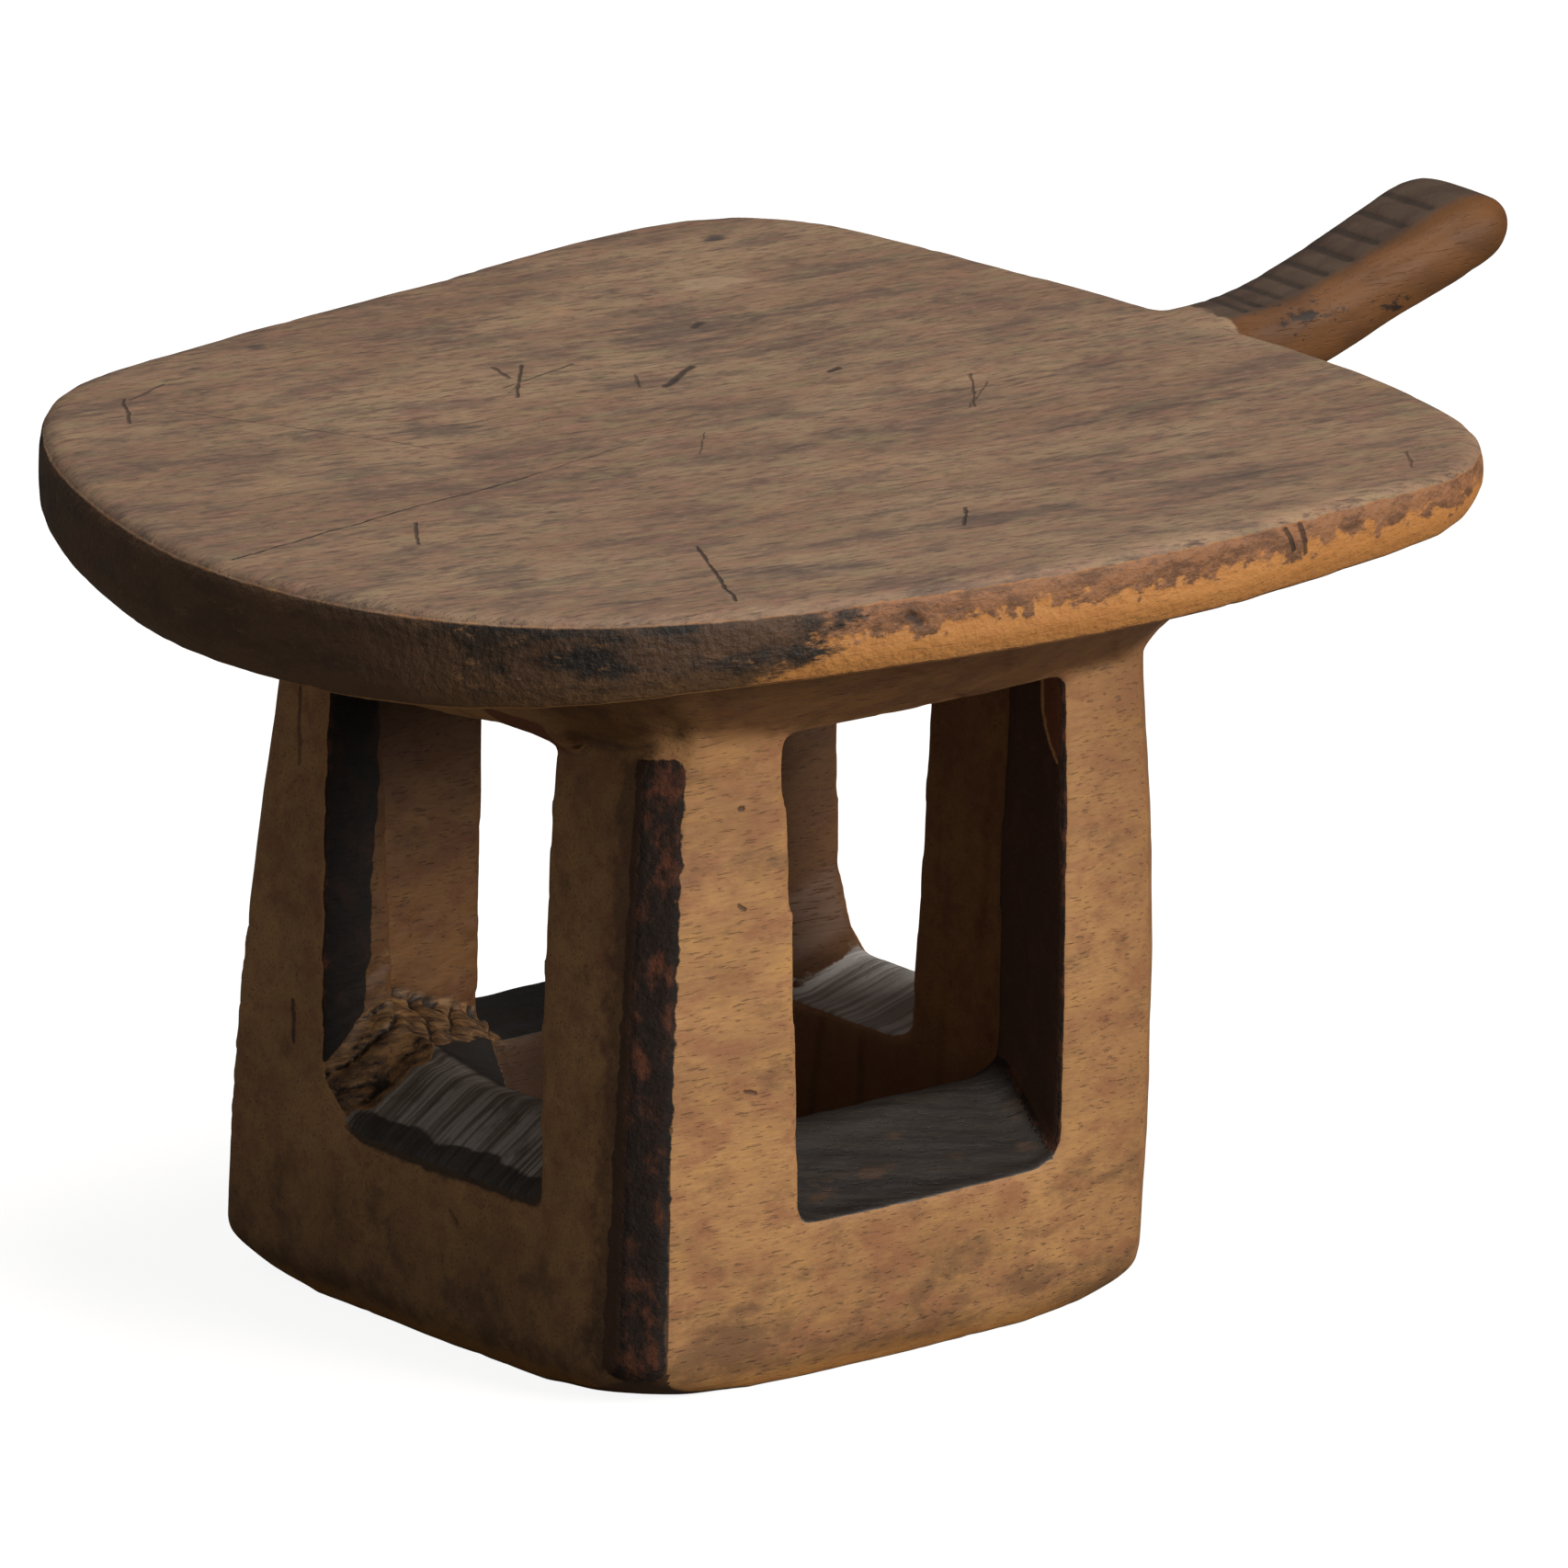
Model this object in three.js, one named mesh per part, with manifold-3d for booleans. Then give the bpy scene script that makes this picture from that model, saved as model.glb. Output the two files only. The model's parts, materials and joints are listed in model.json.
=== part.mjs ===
// Carved wooden stool: a broad seat with a notched tail, on a hollow square base
// whose four walls are each pierced by a tall window. Millimetres, +Z up, +X towards the tail.
// The real stool is cut from one block, so each piece here is one stretch of that carving.
import * as THREE from 'three';
import { mergeVertices } from 'three/addons/utils/BufferGeometryUtils.js';
import Module from 'manifold-3d';

const wasm = await Module();
wasm.setup();

// Seat
const seatHeight = 240;
const seatLength = 367;
const seatWidth = 320;
const seatDish = 2.5;
const rimThickness = 23;
const frontRimDrop = 6.5;
const tailRimLift = 5.5;
const rimTopRound = 4.5;
const rimFootRound = 7;
const rimTuck = 4;
const undersideInset = 11;

// Underside of the seat, where the posts end: its depth under the seat at the base's four corners
const nearPostDrop = 55;
const leftPostDrop = 75;
const rightPostDrop = 57.5;
const farPostDrop = 64;
const undersideFlare = 3;

// Hollow base: the hollow and the walls round it, how they narrow to the top and lean over
const cavityWidth = 131;
const wallThickness = 25.75;
const baseTaper = 12;
const baseLean = 5;
const baseBulge = 2.5;
const sideCrown = 1.5;
const cornerChamfer = 8;
const footChamfer = 22;
const footRound = 4.5;
const cavityChamfer = 7;
const cavityLean = 2;

// Windows: each sill's height at the outer face, and how far it has climbed at its inner crest.
// The tail's sill and the left one fall inwards instead.
const frontSillHeight = 51.5;
const frontSillClimb = 16.5;
const rightSillHeight = 46;
const rightSillClimb = 20;
const tailSillHeight = 67;
const tailSillFall = 8;
const leftSillHeight = 58;
const leftSillFall = 4;
const crestInset = 20;
const windowFoot = 48;
const sillCorner = 16;
const tailCornerWidth = 13;
const tailCornerRise = 36;

// What the windows leave of each wall, at their foot and top, measured from the base's corners
const frontLeftPostFoot = 49.25;
const frontLeftPostTop = 37.25;
const frontRightPostFoot = 42.25;
const frontRightPostTop = 50.25;
const rightNearPostFoot = 54.25;
const rightNearPostTop = 48.75;
const rightFarPostFoot = 37.5;
const rightFarPostTop = 36.25;
const tailRightPostFoot = 76.75;
const tailRightPostTop = 68.75;
const tailLeftPostFoot = 44.25;
const tailLeftPostTop = 45.25;
const backTailPostFoot = 34.25;
const backTailPostTop = 31.25;
const backFrontPostFoot = 73.75;
const backFrontPostTop = 73.25;

// Tail
const tailReach = 96;
const tailRise = 20;
const tailRootDepth = 22.5;
const tailFootRise = 30;
const tailRootWidth = 29;
const tailTipWidth = 41;
const tailCorner = 6;
const notchCount = 9;
const notchDepth = 2.6;
const notchRunOut = 0.6;
const notchWidth = 4.5;
const ridgeWidth = 8;

// Working clearances
const pieceGap = 0.3;
const overrun = 20;
const outlineSteps = 84;
const wallSteps = 4;
const sillSteps = 10;
const tailSteps = 18;
const searchSteps = 24;

// Seat outline seen from above, clockwise from the front, as shares of half the
// seat's length and half its width. The front is a broad bow and the tail edge is nearly straight.
const outlineShares = [
  [-1.0, -0.09], [-0.93, 0.3], [-0.785, 0.64], [-0.595, 0.85], [-0.28, 0.92], [0.165, 0.965],
  [0.54, 1.0], [0.757, 0.968], [0.85, 0.85], [0.9, 0.62], [0.955, 0.2], [1.0, -0.25],
  [0.983, -0.59], [0.917, -0.82], [0.79, -0.95], [0.54, -0.987], [0.165, -1.0],
  [-0.25, -0.943], [-0.58, -0.84], [-0.79, -0.695], [-0.93, -0.475],
];

// Tail profile seen from the side: share of the reach, then the top's share of the rise
const tailTopShares = [
  [0, 0.03], [0.18, 0.08], [0.38, 0.29], [0.56, 0.55], [0.71, 0.78], [0.82, 0.95], [0.91, 1.0], [1.0, 0.92],
];

// Tail underside seen from the side: share of the reach, then the share of its own rise
const tailFootShares = [
  [0, 0], [0.15, 0.04], [0.32, 0.18], [0.55, 0.47], [0.74, 0.67], [0.89, 0.86], [1.0, 1.0],
];

// Where the notches are cut, as shares of the reach: they spread out towards the tip
const firstNotchShare = 0.08;
const lastNotchShare = 0.77;
const notchSpreadPower = 1.2;

// The underside is hollowed between the posts and the rim: how far out, how far up
const undersideHollowShare = 0.42;
const undersideClimbShare = 0.8;

// How round the underside's foot is, between a square at 0 and a circle at 1
const undersideRoundShare = 0.18;

// How round each sill's corners are, as shares of the roundest
const fullCornerShare = 1;
const halfCornerShare = 0.5;
const tightCornerShare = 0.3;

// The dish: where its slope halves and where its flat middle starts, as shares of half the width
const dishShares = [0.5, 0.7];

// The tail's tip rounds off from this share of its reach, squarer than an ellipse
const tipStartShare = 0.86;
const tipSquareness = 2.6;
const tipBluntShare = 0.3;
const tipThinShare = 0.34;
const tailRootShare = -0.08;

const half = (size) => size / 2;
const undersideHeight = seatHeight - rimThickness;
const nearPostHeight = seatHeight - nearPostDrop;
const leftPostHeight = seatHeight - leftPostDrop;
const rightPostHeight = seatHeight - rightPostDrop;
const farPostHeight = seatHeight - farPostDrop;
const baseWidth = cavityWidth + wallThickness * 2;
const baseTopWidth = baseWidth - baseTaper;

function wood(color, roughness) {
  return new THREE.MeshStandardMaterial({ color, roughness, metalness: 0 });
}

const topWood = wood(0x8a6a4a, 0.62);
const paleWood = wood(0xb98a55, 0.7);
const shadeWood = wood(0x7d5c3a, 0.74);
const tailWood = wood(0x6e4526, 0.5);

// Closed solid through a stack of rings, each counter-clockwise seen from above
function loft(rings) {
  const count = rings[0].length;
  const points = rings.flat();
  const triangles = [];
  for (let level = 0; level < rings.length - 1; level += 1) {
    for (let i = 0; i < count; i += 1) {
      const next = (i + 1) % count;
      const a = level * count + i;
      const b = level * count + next;
      triangles.push(a, b, b + count, a, b + count, a + count);
    }
  }
  [[0, false], [rings.length - 1, true]].forEach(([level, top]) => {
    const middle = new THREE.Vector3();
    rings[level].forEach((point) => middle.addScaledVector(point, 1 / count));
    const hub = points.push(middle) - 1;
    for (let i = 0; i < count; i += 1) {
      const a = level * count + i;
      const b = level * count + ((i + 1) % count);
      triangles.push(hub, top ? a : b, top ? b : a);
    }
  });
  const geometry = new THREE.BufferGeometry().setFromPoints(points);
  geometry.setIndex(triangles);
  return solid(geometry);
}

function solid(geometry) {
  geometry.deleteAttribute('normal');
  geometry.deleteAttribute('uv');
  const merged = mergeVertices(geometry);
  return new wasm.Manifold(new wasm.Mesh({
    numProp: 3,
    vertProperties: Float32Array.from(merged.attributes.position.array),
    triVerts: Uint32Array.from(merged.index.array),
  }));
}

function piece(name, body, material) {
  const cut = body.getMesh();
  const geometry = new THREE.BufferGeometry();
  geometry.setAttribute('position', new THREE.BufferAttribute(cut.vertProperties, cut.numProp));
  geometry.setIndex(new THREE.BufferAttribute(cut.triVerts, 1));
  geometry.computeVertexNormals();
  const mesh = new THREE.Mesh(geometry, material);
  mesh.name = name;
  return mesh;
}

// Seat
const outlineCurve = new THREE.CatmullRomCurve3(
  outlineShares.map(([x, y]) => new THREE.Vector3(x * half(seatLength), y * half(seatWidth), 0)),
  true,
  'centripetal',
);
// The outline is listed clockwise, and rings run counter-clockwise, so it is turned round
const outline = outlineCurve.getSpacedPoints(outlineSteps).slice(0, outlineSteps).reverse();

function outlineRing(inset, height) {
  return outline.map((point) => {
    const drawn = point.clone().multiplyScalar(1 - inset / point.length());
    drawn.z = typeof height === 'function' ? height(drawn) : height;
    return drawn;
  });
}

// The rim hangs lower at the front than along the sides, and is thinner at the tail
function rimFoot(point) {
  const front = THREE.MathUtils.smoothstep(-point.x, half(seatLength) / 2, half(seatLength));
  const back = THREE.MathUtils.smoothstep(point.x, half(seatLength) / 4, half(seatLength));
  return undersideHeight - frontRimDrop * front + tailRimLift * back;
}

function seatSlab(grow) {
  const spread = (inset, height) => outlineRing(inset - grow, height);
  return loft([
    spread(undersideInset, (point) => rimFoot(point) - grow),
    spread(rimTuck, (point) => rimFoot(point) + rimTuck / rimFootRound - grow),
    spread(0, (point) => rimFoot(point) + rimFootRound),
    spread(0, seatHeight - rimTopRound),
    spread(rimTopRound / 4, seatHeight - rimTopRound / 4 + grow),
    spread(rimTopRound, seatHeight + grow),
    spread(half(seatWidth) * dishShares[0], seatHeight - half(seatDish) + grow),
    spread(half(seatWidth) * dishShares[1], seatHeight - seatDish + grow),
  ]);
}

// Base: outer half width, lean and outline at a height
function baseHalf(z) {
  const share = z / nearPostHeight;
  const taper = THREE.MathUtils.lerp(half(baseWidth), half(baseTopWidth), share);
  return taper + baseBulge * Math.sin(Math.PI * Math.min(1, share));
}

function squareRing(halfWidth, chamfer, crown, lean, z) {
  const ring = [];
  for (let side = 0; side < 4; side += 1) {
    for (let step = 0; step <= wallSteps; step += 1) {
      const along = THREE.MathUtils.lerp(-1, 1, step / wallSteps) * (halfWidth - chamfer);
      const out = halfWidth + crown * (1 - (along / halfWidth) ** 2);
      const point = new THREE.Vector3(along, -out, 0);
      point.applyAxisAngle(new THREE.Vector3(0, 0, 1), side * half(Math.PI));
      ring.push(point.add(new THREE.Vector3(lean, -lean, z)));
    }
  }
  return ring;
}

function outerRing(z, inset, chamfer) {
  const lean = baseLean * (z / nearPostHeight);
  return squareRing(baseHalf(z) - inset, chamfer, sideCrown, lean, z);
}

const levels = [footRound * 2];
for (let step = 1; step <= wallSteps; step += 1) levels.push((nearPostHeight * step) / wallSteps);
const blockTop = Math.max(nearPostHeight, leftPostHeight, rightPostHeight, farPostHeight) + overrun;
const outerBlock = loft([
  outerRing(0, footRound, footChamfer),
  ...levels.map((z) => outerRing(z, 0, cornerChamfer)),
  outerRing(blockTop, 0, cornerChamfer),
]);
const cavity = loft([
  squareRing(half(cavityWidth), cavityChamfer, 0, 0, -overrun),
  squareRing(half(cavityWidth), cavityChamfer, 0, cavityLean, blockTop + overrun),
]);
const walls = outerBlock.subtract(cavity);

// Height of the seat's underside over the base, from its four corner heights
function undersideAt(point) {
  const u = point.x / baseWidth + 0.5;
  const v = point.y / baseWidth + 0.5;
  const near = THREE.MathUtils.lerp(nearPostHeight, rightPostHeight, u);
  const far = THREE.MathUtils.lerp(leftPostHeight, farPostHeight, u);
  return THREE.MathUtils.lerp(near, far, v);
}

// Ring round the post tops with as many points as the seat outline
function postTopRing(spread, drop) {
  const halfWidth = baseHalf(nearPostHeight) + spread;
  return outline.map((point) => {
    const reach = Math.max(Math.abs(point.x) / half(seatLength), Math.abs(point.y) / half(seatWidth));
    const ring = new THREE.Vector3(point.x / half(seatLength), point.y / half(seatWidth), 0);
    ring.multiplyScalar(THREE.MathUtils.lerp(1 / reach, 1 / ring.length(), undersideRoundShare) * halfWidth);
    ring.add(new THREE.Vector3(baseLean, -baseLean, 0));
    ring.z = undersideAt(ring) - drop;
    return ring;
  });
}

const undersideRim = outlineRing(undersideInset, (point) => rimFoot(point) - pieceGap);
const undersideFoot = postTopRing(undersideFlare, 0);
const undersideHollow = undersideFoot.map((foot, i) => {
  const rim = undersideRim[i];
  const between = foot.clone().lerp(rim, undersideHollowShare);
  between.z = THREE.MathUtils.lerp(foot.z, rim.z, undersideClimbShare);
  return between;
});
const underside = loft([undersideFoot, undersideHollow, undersideRim]);
const aboveThePosts = loft([
  postTopRing(undersideFlare, pieceGap),
  postTopRing(undersideFlare + overrun, -pieceGap),
  postTopRing(undersideFlare + overrun, 0).map((point) => point.setZ(blockTop + overrun)),
]);

// Upright slot through one wall: its two jambs, at the foot and at the top, along the wall
function slot(jambs, gap) {
  const [leftFoot, leftTop, rightFoot, rightTop] = jambs;
  const lean = (foot, top, z) => foot + (top - foot) * ((z - windowFoot) / (nearPostHeight - windowFoot));
  const ring = (z) => [
    new THREE.Vector3(-lean(leftFoot, leftTop, z) + gap, -baseWidth, z),
    new THREE.Vector3(lean(rightFoot, rightTop, z) - gap, -baseWidth, z),
    new THREE.Vector3(lean(rightFoot, rightTop, z) - gap, -half(cavityWidth) / 2, z),
    new THREE.Vector3(-lean(leftFoot, leftTop, z) + gap, -half(cavityWidth) / 2, z),
  ];
  return loft([ring(-overrun), ring(blockTop + overrun)]);
}

// Everything under a sill: it slopes inwards and curls up at the jambs
function underSill({ jambs, curls, outer, inner }) {
  const left = -jambs[0];
  const right = jambs[2];
  const curl = (distance, [width, rise]) => {
    const inside = THREE.MathUtils.clamp(1 - distance / width, 0, 1);
    return rise * (1 - Math.sqrt(1 - inside ** 2));
  };
  const rows = [
    [-baseWidth, outer], [-half(baseWidth), outer],
    [-half(baseWidth) + crestInset, inner], [-half(cavityWidth) / 2, inner],
  ];
  const rings = [];
  for (let step = 0; step <= sillSteps; step += 1) {
    const share = step / sillSteps;
    const x = THREE.MathUtils.lerp(left, right, (1 - Math.cos(Math.PI * share)) / 2);
    const rise = curl(x - left, curls[0]) + curl(right - x, curls[1]);
    const top = rows.map(([y, z]) => new THREE.Vector3(x, y, z + rise));
    const foot = [rows[3][0], rows[0][0]].map((y) => new THREE.Vector3(x, y, -overrun));
    rings.push([...top, ...foot]);
  }
  [[0, -overrun], [rings.length - 1, overrun]].forEach(([end, reach]) => {
    rings[end] = rings[end].map((point) => point.clone().setX(point.x + reach));
  });
  return loft(rings.reverse());
}

// The four walls, each turned from the near right one: its rail's name, and its window's jambs
// at the foot and at the top, measured along the wall from the middle
const jambsBeside = (posts) => posts.map((width) => half(baseWidth) - width);
const round = (share) => [sillCorner * share, sillCorner * share];
const wallPlans = [
  {
    name: 'rail_right', turn: 0, curls: [round(tightCornerShare), round(halfCornerShare)],
    outer: rightSillHeight, inner: rightSillHeight + rightSillClimb,
    jambs: jambsBeside([rightNearPostFoot, rightNearPostTop, rightFarPostFoot, rightFarPostTop]),
  },
  {
    name: 'rail_tail', turn: 1, curls: [round(tightCornerShare), [tailCornerWidth, tailCornerRise]],
    outer: tailSillHeight, inner: tailSillHeight - tailSillFall,
    jambs: jambsBeside([tailRightPostFoot, tailRightPostTop, tailLeftPostFoot, tailLeftPostTop]),
  },
  {
    name: 'rail_left', turn: 2, curls: [round(halfCornerShare), round(halfCornerShare)],
    outer: leftSillHeight, inner: leftSillHeight - leftSillFall,
    jambs: jambsBeside([backTailPostFoot, backTailPostTop, backFrontPostFoot, backFrontPostTop]),
  },
  {
    name: 'rail_front', turn: 3, curls: [round(fullCornerShare), round(tightCornerShare)],
    outer: frontSillHeight, inner: frontSillHeight + frontSillClimb,
    jambs: jambsBeside([frontLeftPostFoot, frontLeftPostTop, frontRightPostFoot, frontRightPostTop]),
  },
];

const turned = (body, turn) => body.rotate([0, 0, turn * 90]);

let posts = walls.subtract(aboveThePosts);
const rails = wallPlans.map((plan) => {
  posts = posts.subtract(turned(slot(plan.jambs, 0), plan.turn));
  const fill = slot(plan.jambs, pieceGap).intersect(underSill(plan));
  return piece(plan.name, walls.intersect(turned(fill, plan.turn)), paleWood);
});

const postNames = {
  '-1,-1': 'post_front_right', '1,-1': 'post_tail_right', '1,1': 'post_tail_left', '-1,1': 'post_front_left',
};
const postPieces = posts.decompose().map((body) => {
  const { min, max } = body.boundingBox();
  const key = [Math.sign(min[0] + max[0]), Math.sign(min[1] + max[1])].join();
  return piece(postNames[key], body, key === '-1,1' ? shadeWood : paleWood);
});

// Tail: rounded sections between its two rising lines, from inside the rim to a blunt round tip
const rootX = half(seatLength);
const tailCurve = (shares) => new THREE.CatmullRomCurve3(
  shares.map(([x, z]) => new THREE.Vector3(x, 0, z)),
  false,
  'centripetal',
);
const tailTopCurve = tailCurve(tailTopShares);
const tailFootCurve = tailCurve(tailFootShares);

function riseAlong(curve, share) {
  let low = 0;
  let high = 1;
  for (let i = 0; i < searchSteps; i += 1) {
    const mid = (low + high) / 2;
    if (curve.getPoint(mid).x < share) low = mid;
    else high = mid;
  }
  return curve.getPoint(low).z;
}

const tailTop = (share) => seatHeight + tailRise * riseAlong(tailTopCurve, share);
const tailFoot = (share) => seatHeight - tailRootDepth + tailFootRise * riseAlong(tailFootCurve, share);

function tailSection(share) {
  const onTail = THREE.MathUtils.clamp(share, 0, 1);
  const tip = THREE.MathUtils.clamp((share - tipStartShare) / (1 - tipStartShare), 0, 1);
  const shrink = Math.max(tipBluntShare, (1 - tip ** tipSquareness) ** (1 / tipSquareness));
  const width = THREE.MathUtils.lerp(tailRootWidth, tailTipWidth, onTail);
  const halfWide = half(width) * shrink;
  const thick = tailTop(onTail) - tailFoot(onTail);
  const tall = thick * THREE.MathUtils.lerp(tipThinShare, 1, shrink);
  const middle = tailFoot(onTail) + half(thick);
  const corner = Math.min(tailCorner, halfWide, half(tall));
  const x = rootX + share * tailReach;
  const ring = [];
  [[1, -1], [1, 1], [-1, 1], [-1, -1]].forEach(([across, up], quarter) => {
    [0, 0.5, 1].forEach((turn) => {
      const angle = (quarter + turn - 1) * half(Math.PI);
      ring.push(new THREE.Vector3(
        x,
        across * (halfWide - corner) + corner * Math.cos(angle),
        middle + up * (half(tall) - corner) + corner * Math.sin(angle),
      ));
    });
  });
  return ring;
}

const tailShares = [tailRootShare];
for (let step = 0; step <= tailSteps; step += 1) {
  tailShares.push(Math.sin(half(Math.PI) * (step / tailSteps)));
}
const tailBody = loft(tailShares.map(tailSection).reverse().map((ring) => ring.reverse()));

// Notches across the tail's top, stopping short of the ridge along its right side
let tail = tailBody.subtract(seatSlab(pieceGap));
for (let i = 0; i < notchCount; i += 1) {
  const run = (i / (notchCount - 1)) ** notchSpreadPower;
  const share = THREE.MathUtils.lerp(firstNotchShare, lastNotchShare, run);
  const x = rootX + share * tailReach;
  const top = tailTop(share);
  const ring = (y, depth) => [
    new THREE.Vector3(x - half(notchWidth), y, top + depth),
    new THREE.Vector3(x, y, top - depth),
    new THREE.Vector3(x + half(notchWidth), y, top + depth),
  ];
  const farEdge = half(tailTipWidth) + notchDepth;
  const nearEdge = ridgeWidth - half(tailRootWidth);
  tail = tail.subtract(loft([ring(farEdge, notchRunOut), ring(nearEdge, notchDepth)]));
}

const stool = new THREE.Group();
stool.add(
  piece('seat_slab', seatSlab(0), topWood),
  piece('seat_underside', underside, paleWood),
  piece('tail_handle', tail, tailWood),
  ...postPieces,
  ...rails,
);

// The frame's origin is on the floor, in the middle of the whole stool's box
const box = new THREE.Box3().setFromObject(stool);
const centre = box.getCenter(new THREE.Vector3());
stool.position.set(-centre.x, -centre.y, -box.min.z);

export default stool;
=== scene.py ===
import json
import math

import bmesh
import bpy
import numpy as np
from mathutils import Matrix, Vector, noise

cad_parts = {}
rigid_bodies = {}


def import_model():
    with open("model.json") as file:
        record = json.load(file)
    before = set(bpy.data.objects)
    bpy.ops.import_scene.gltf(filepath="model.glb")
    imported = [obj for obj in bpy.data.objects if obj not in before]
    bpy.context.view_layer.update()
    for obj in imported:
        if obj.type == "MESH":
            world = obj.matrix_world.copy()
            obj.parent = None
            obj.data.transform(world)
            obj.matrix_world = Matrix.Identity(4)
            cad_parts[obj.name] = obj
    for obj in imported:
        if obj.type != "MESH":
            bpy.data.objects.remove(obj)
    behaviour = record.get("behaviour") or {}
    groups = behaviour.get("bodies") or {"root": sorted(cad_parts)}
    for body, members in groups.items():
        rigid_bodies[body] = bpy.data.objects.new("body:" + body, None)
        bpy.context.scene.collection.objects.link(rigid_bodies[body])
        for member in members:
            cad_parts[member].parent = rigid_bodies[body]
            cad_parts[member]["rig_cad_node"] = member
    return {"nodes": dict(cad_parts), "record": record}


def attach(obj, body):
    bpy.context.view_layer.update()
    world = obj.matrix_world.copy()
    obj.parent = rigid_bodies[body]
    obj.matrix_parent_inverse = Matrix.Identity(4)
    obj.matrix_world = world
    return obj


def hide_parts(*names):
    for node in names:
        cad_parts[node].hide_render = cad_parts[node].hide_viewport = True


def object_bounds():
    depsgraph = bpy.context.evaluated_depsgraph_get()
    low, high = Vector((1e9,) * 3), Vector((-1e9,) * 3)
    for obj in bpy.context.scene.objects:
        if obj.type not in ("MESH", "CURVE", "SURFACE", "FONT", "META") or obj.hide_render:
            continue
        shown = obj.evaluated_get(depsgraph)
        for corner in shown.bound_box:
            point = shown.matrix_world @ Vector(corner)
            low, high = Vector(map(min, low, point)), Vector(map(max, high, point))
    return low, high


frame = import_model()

CAD_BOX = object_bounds()

# Sculpting works in millimetres from the floor under the seat's middle; Blender works in metres
MM = 0.001
SEAT_MIDDLE = Vector(next(m["pos_m"] for m in frame["record"]["mounts"] if m["name"] == "seat_top"))
FLOOR_MIDDLE = Vector((SEAT_MIDDLE.x, SEAT_MIDDLE.y, 0))

# Camera: from the front right corner, a little above, far off with a long lens
CAMERA_AZIMUTH = math.radians(-40.3)
CAMERA_ELEVATION = math.radians(17.0)
CAMERA_ROLL = math.radians(0.9)
CAMERA_DISTANCE = 20.0
PICTURE_WIDTH = 0.4252
AIM_RIGHT = 0.0279
AIM_UP = 0.1342

# The solids are grown by this much to join them, and the block is remeshed this finely
JOIN_OVERLAP = 0.25
MESH_SIZE = 1.28

# Rounds of smoothing: of all edges, the seat's underside, the foot's corners, and to find edges
EDGE_ROUNDS = 2
UNDERSIDE_ROUNDS = 12
FOOT_ROUNDS = 45
EDGE_FINDING_ROUNDS = 14

# Rounds in which the points that a cut adds take over the masks beside them
HEAL_ROUNDS = 3

# How far the post tops run up, and the near corner leans to the left at its foot and further up
CORNER_LIFT = 6
NEAR_CORNER_SHIFT = 1.3
NEAR_CORNER_LEAN = 2.9

# The share of a diagonal shift that goes along each axis
DIAGONAL = 0.7

# Base: half its width outside and inside the walls, its height and how far it leans
WALL_OUT = 91
WALL_IN = 65.5
BASE_TOP = 185
BASE_LEAN = 5

# Seat: heights, and how the rim's foot drops to the front and rises to the back
SEAT_TOP = 240
SEAT_HALF_LENGTH = 183.5
RIM_FOOT = 217
RIM_FRONT_DROP = 6.5
RIM_BACK_RISE = 5.5

# Tail
TAIL_REACH = 96
TAIL_HALF_WIDTH = 30
NOTCHES = 9
NOTCH_HALF_WIDTH = 2.4
NOTCH_DEPTH = 0.5

# Where the base meets the seat: heights at the base's four corners
NEAR_LINE = 185
LEFT_LINE = 165
RIGHT_LINE = 182.5
FAR_LINE = 176

# Windows: the sills lie between these two heights, and a sill's piece ends this far from the jambs
WINDOW_FOOT = 38
HIGHEST_SILL = 84
JAMB_TRIM = 1.5

# Their jambs, from the middle of each wall, at this height and at the top, and their pieces' tops
JAMB_FOOT_HEIGHT = 48
WINDOWS = {
    "rail_right": {"turn": 0, "left": (37, 42.5), "right": (53.75, 55), "top": 68},
    "rail_tail": {"turn": 1, "left": (14.5, 22.5), "right": (47, 46), "top": 86},
    "rail_left": {"turn": 2, "left": (57, 60), "right": (17.5, 18), "top": 60.3},
    "rail_front": {"turn": 3, "left": (42, 54), "right": (49, 41), "top": 76.5},
}
POSTS = {
    "post_front_right": (-1, -1),
    "post_tail_right": (1, -1),
    "post_tail_left": (1, 1),
    "post_front_left": (-1, 1),
}

# Scorched strip down the near corner: its middle and half width at the foot, and how these change
STRIP_FOOT_MIDDLE = -2.8
STRIP_LEAN = 5.0
STRIP_FOOT_HALF_WIDTH = 8.7
STRIP_NARROWING = 2.1

# Scorched jambs start at this y in the front window and this x in the right one
FRONT_JAMB = 36
RIGHT_JAMB = 46

# The front one's scorch: where its inner edge and its foot are, and their slants
SCORCH_EDGE = 64
SCORCH_EDGE_SLANT = 0.115
SCORCH_FOOT = 68
SCORCH_FOOT_SLANT = 0.76

# Split sliver at the top of the right window's far jamb, and the torn bit over the front window
SLIVER_TOP = 183
SLIVER_LENGTH = 27
SLIVER_WIDTH = 9
HANGING_DROP = 4.4

# The grain runs along the seat, a little turned
GRAIN_TURN = math.radians(-10)

# Torn wood left standing in the hollow's front left corner, below the sills
WEB = [(-67, -8, 66), (-13, 67, 60), (-67, 67, 80), (-67, 67, 15), (-67, -4, 50), (-17, 67, 46)]

# The torn wood's edge, seen from above: where it turns, and how it runs from there both ways
TORN_CORNER = (-71, 25)
TORN_SLOPES = (-0.43, 0.565)

# The torn wood's highest point, and how deep its crevices are
TORN_TOP = 98
CREVICE_DEPTH = 2.3

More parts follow.
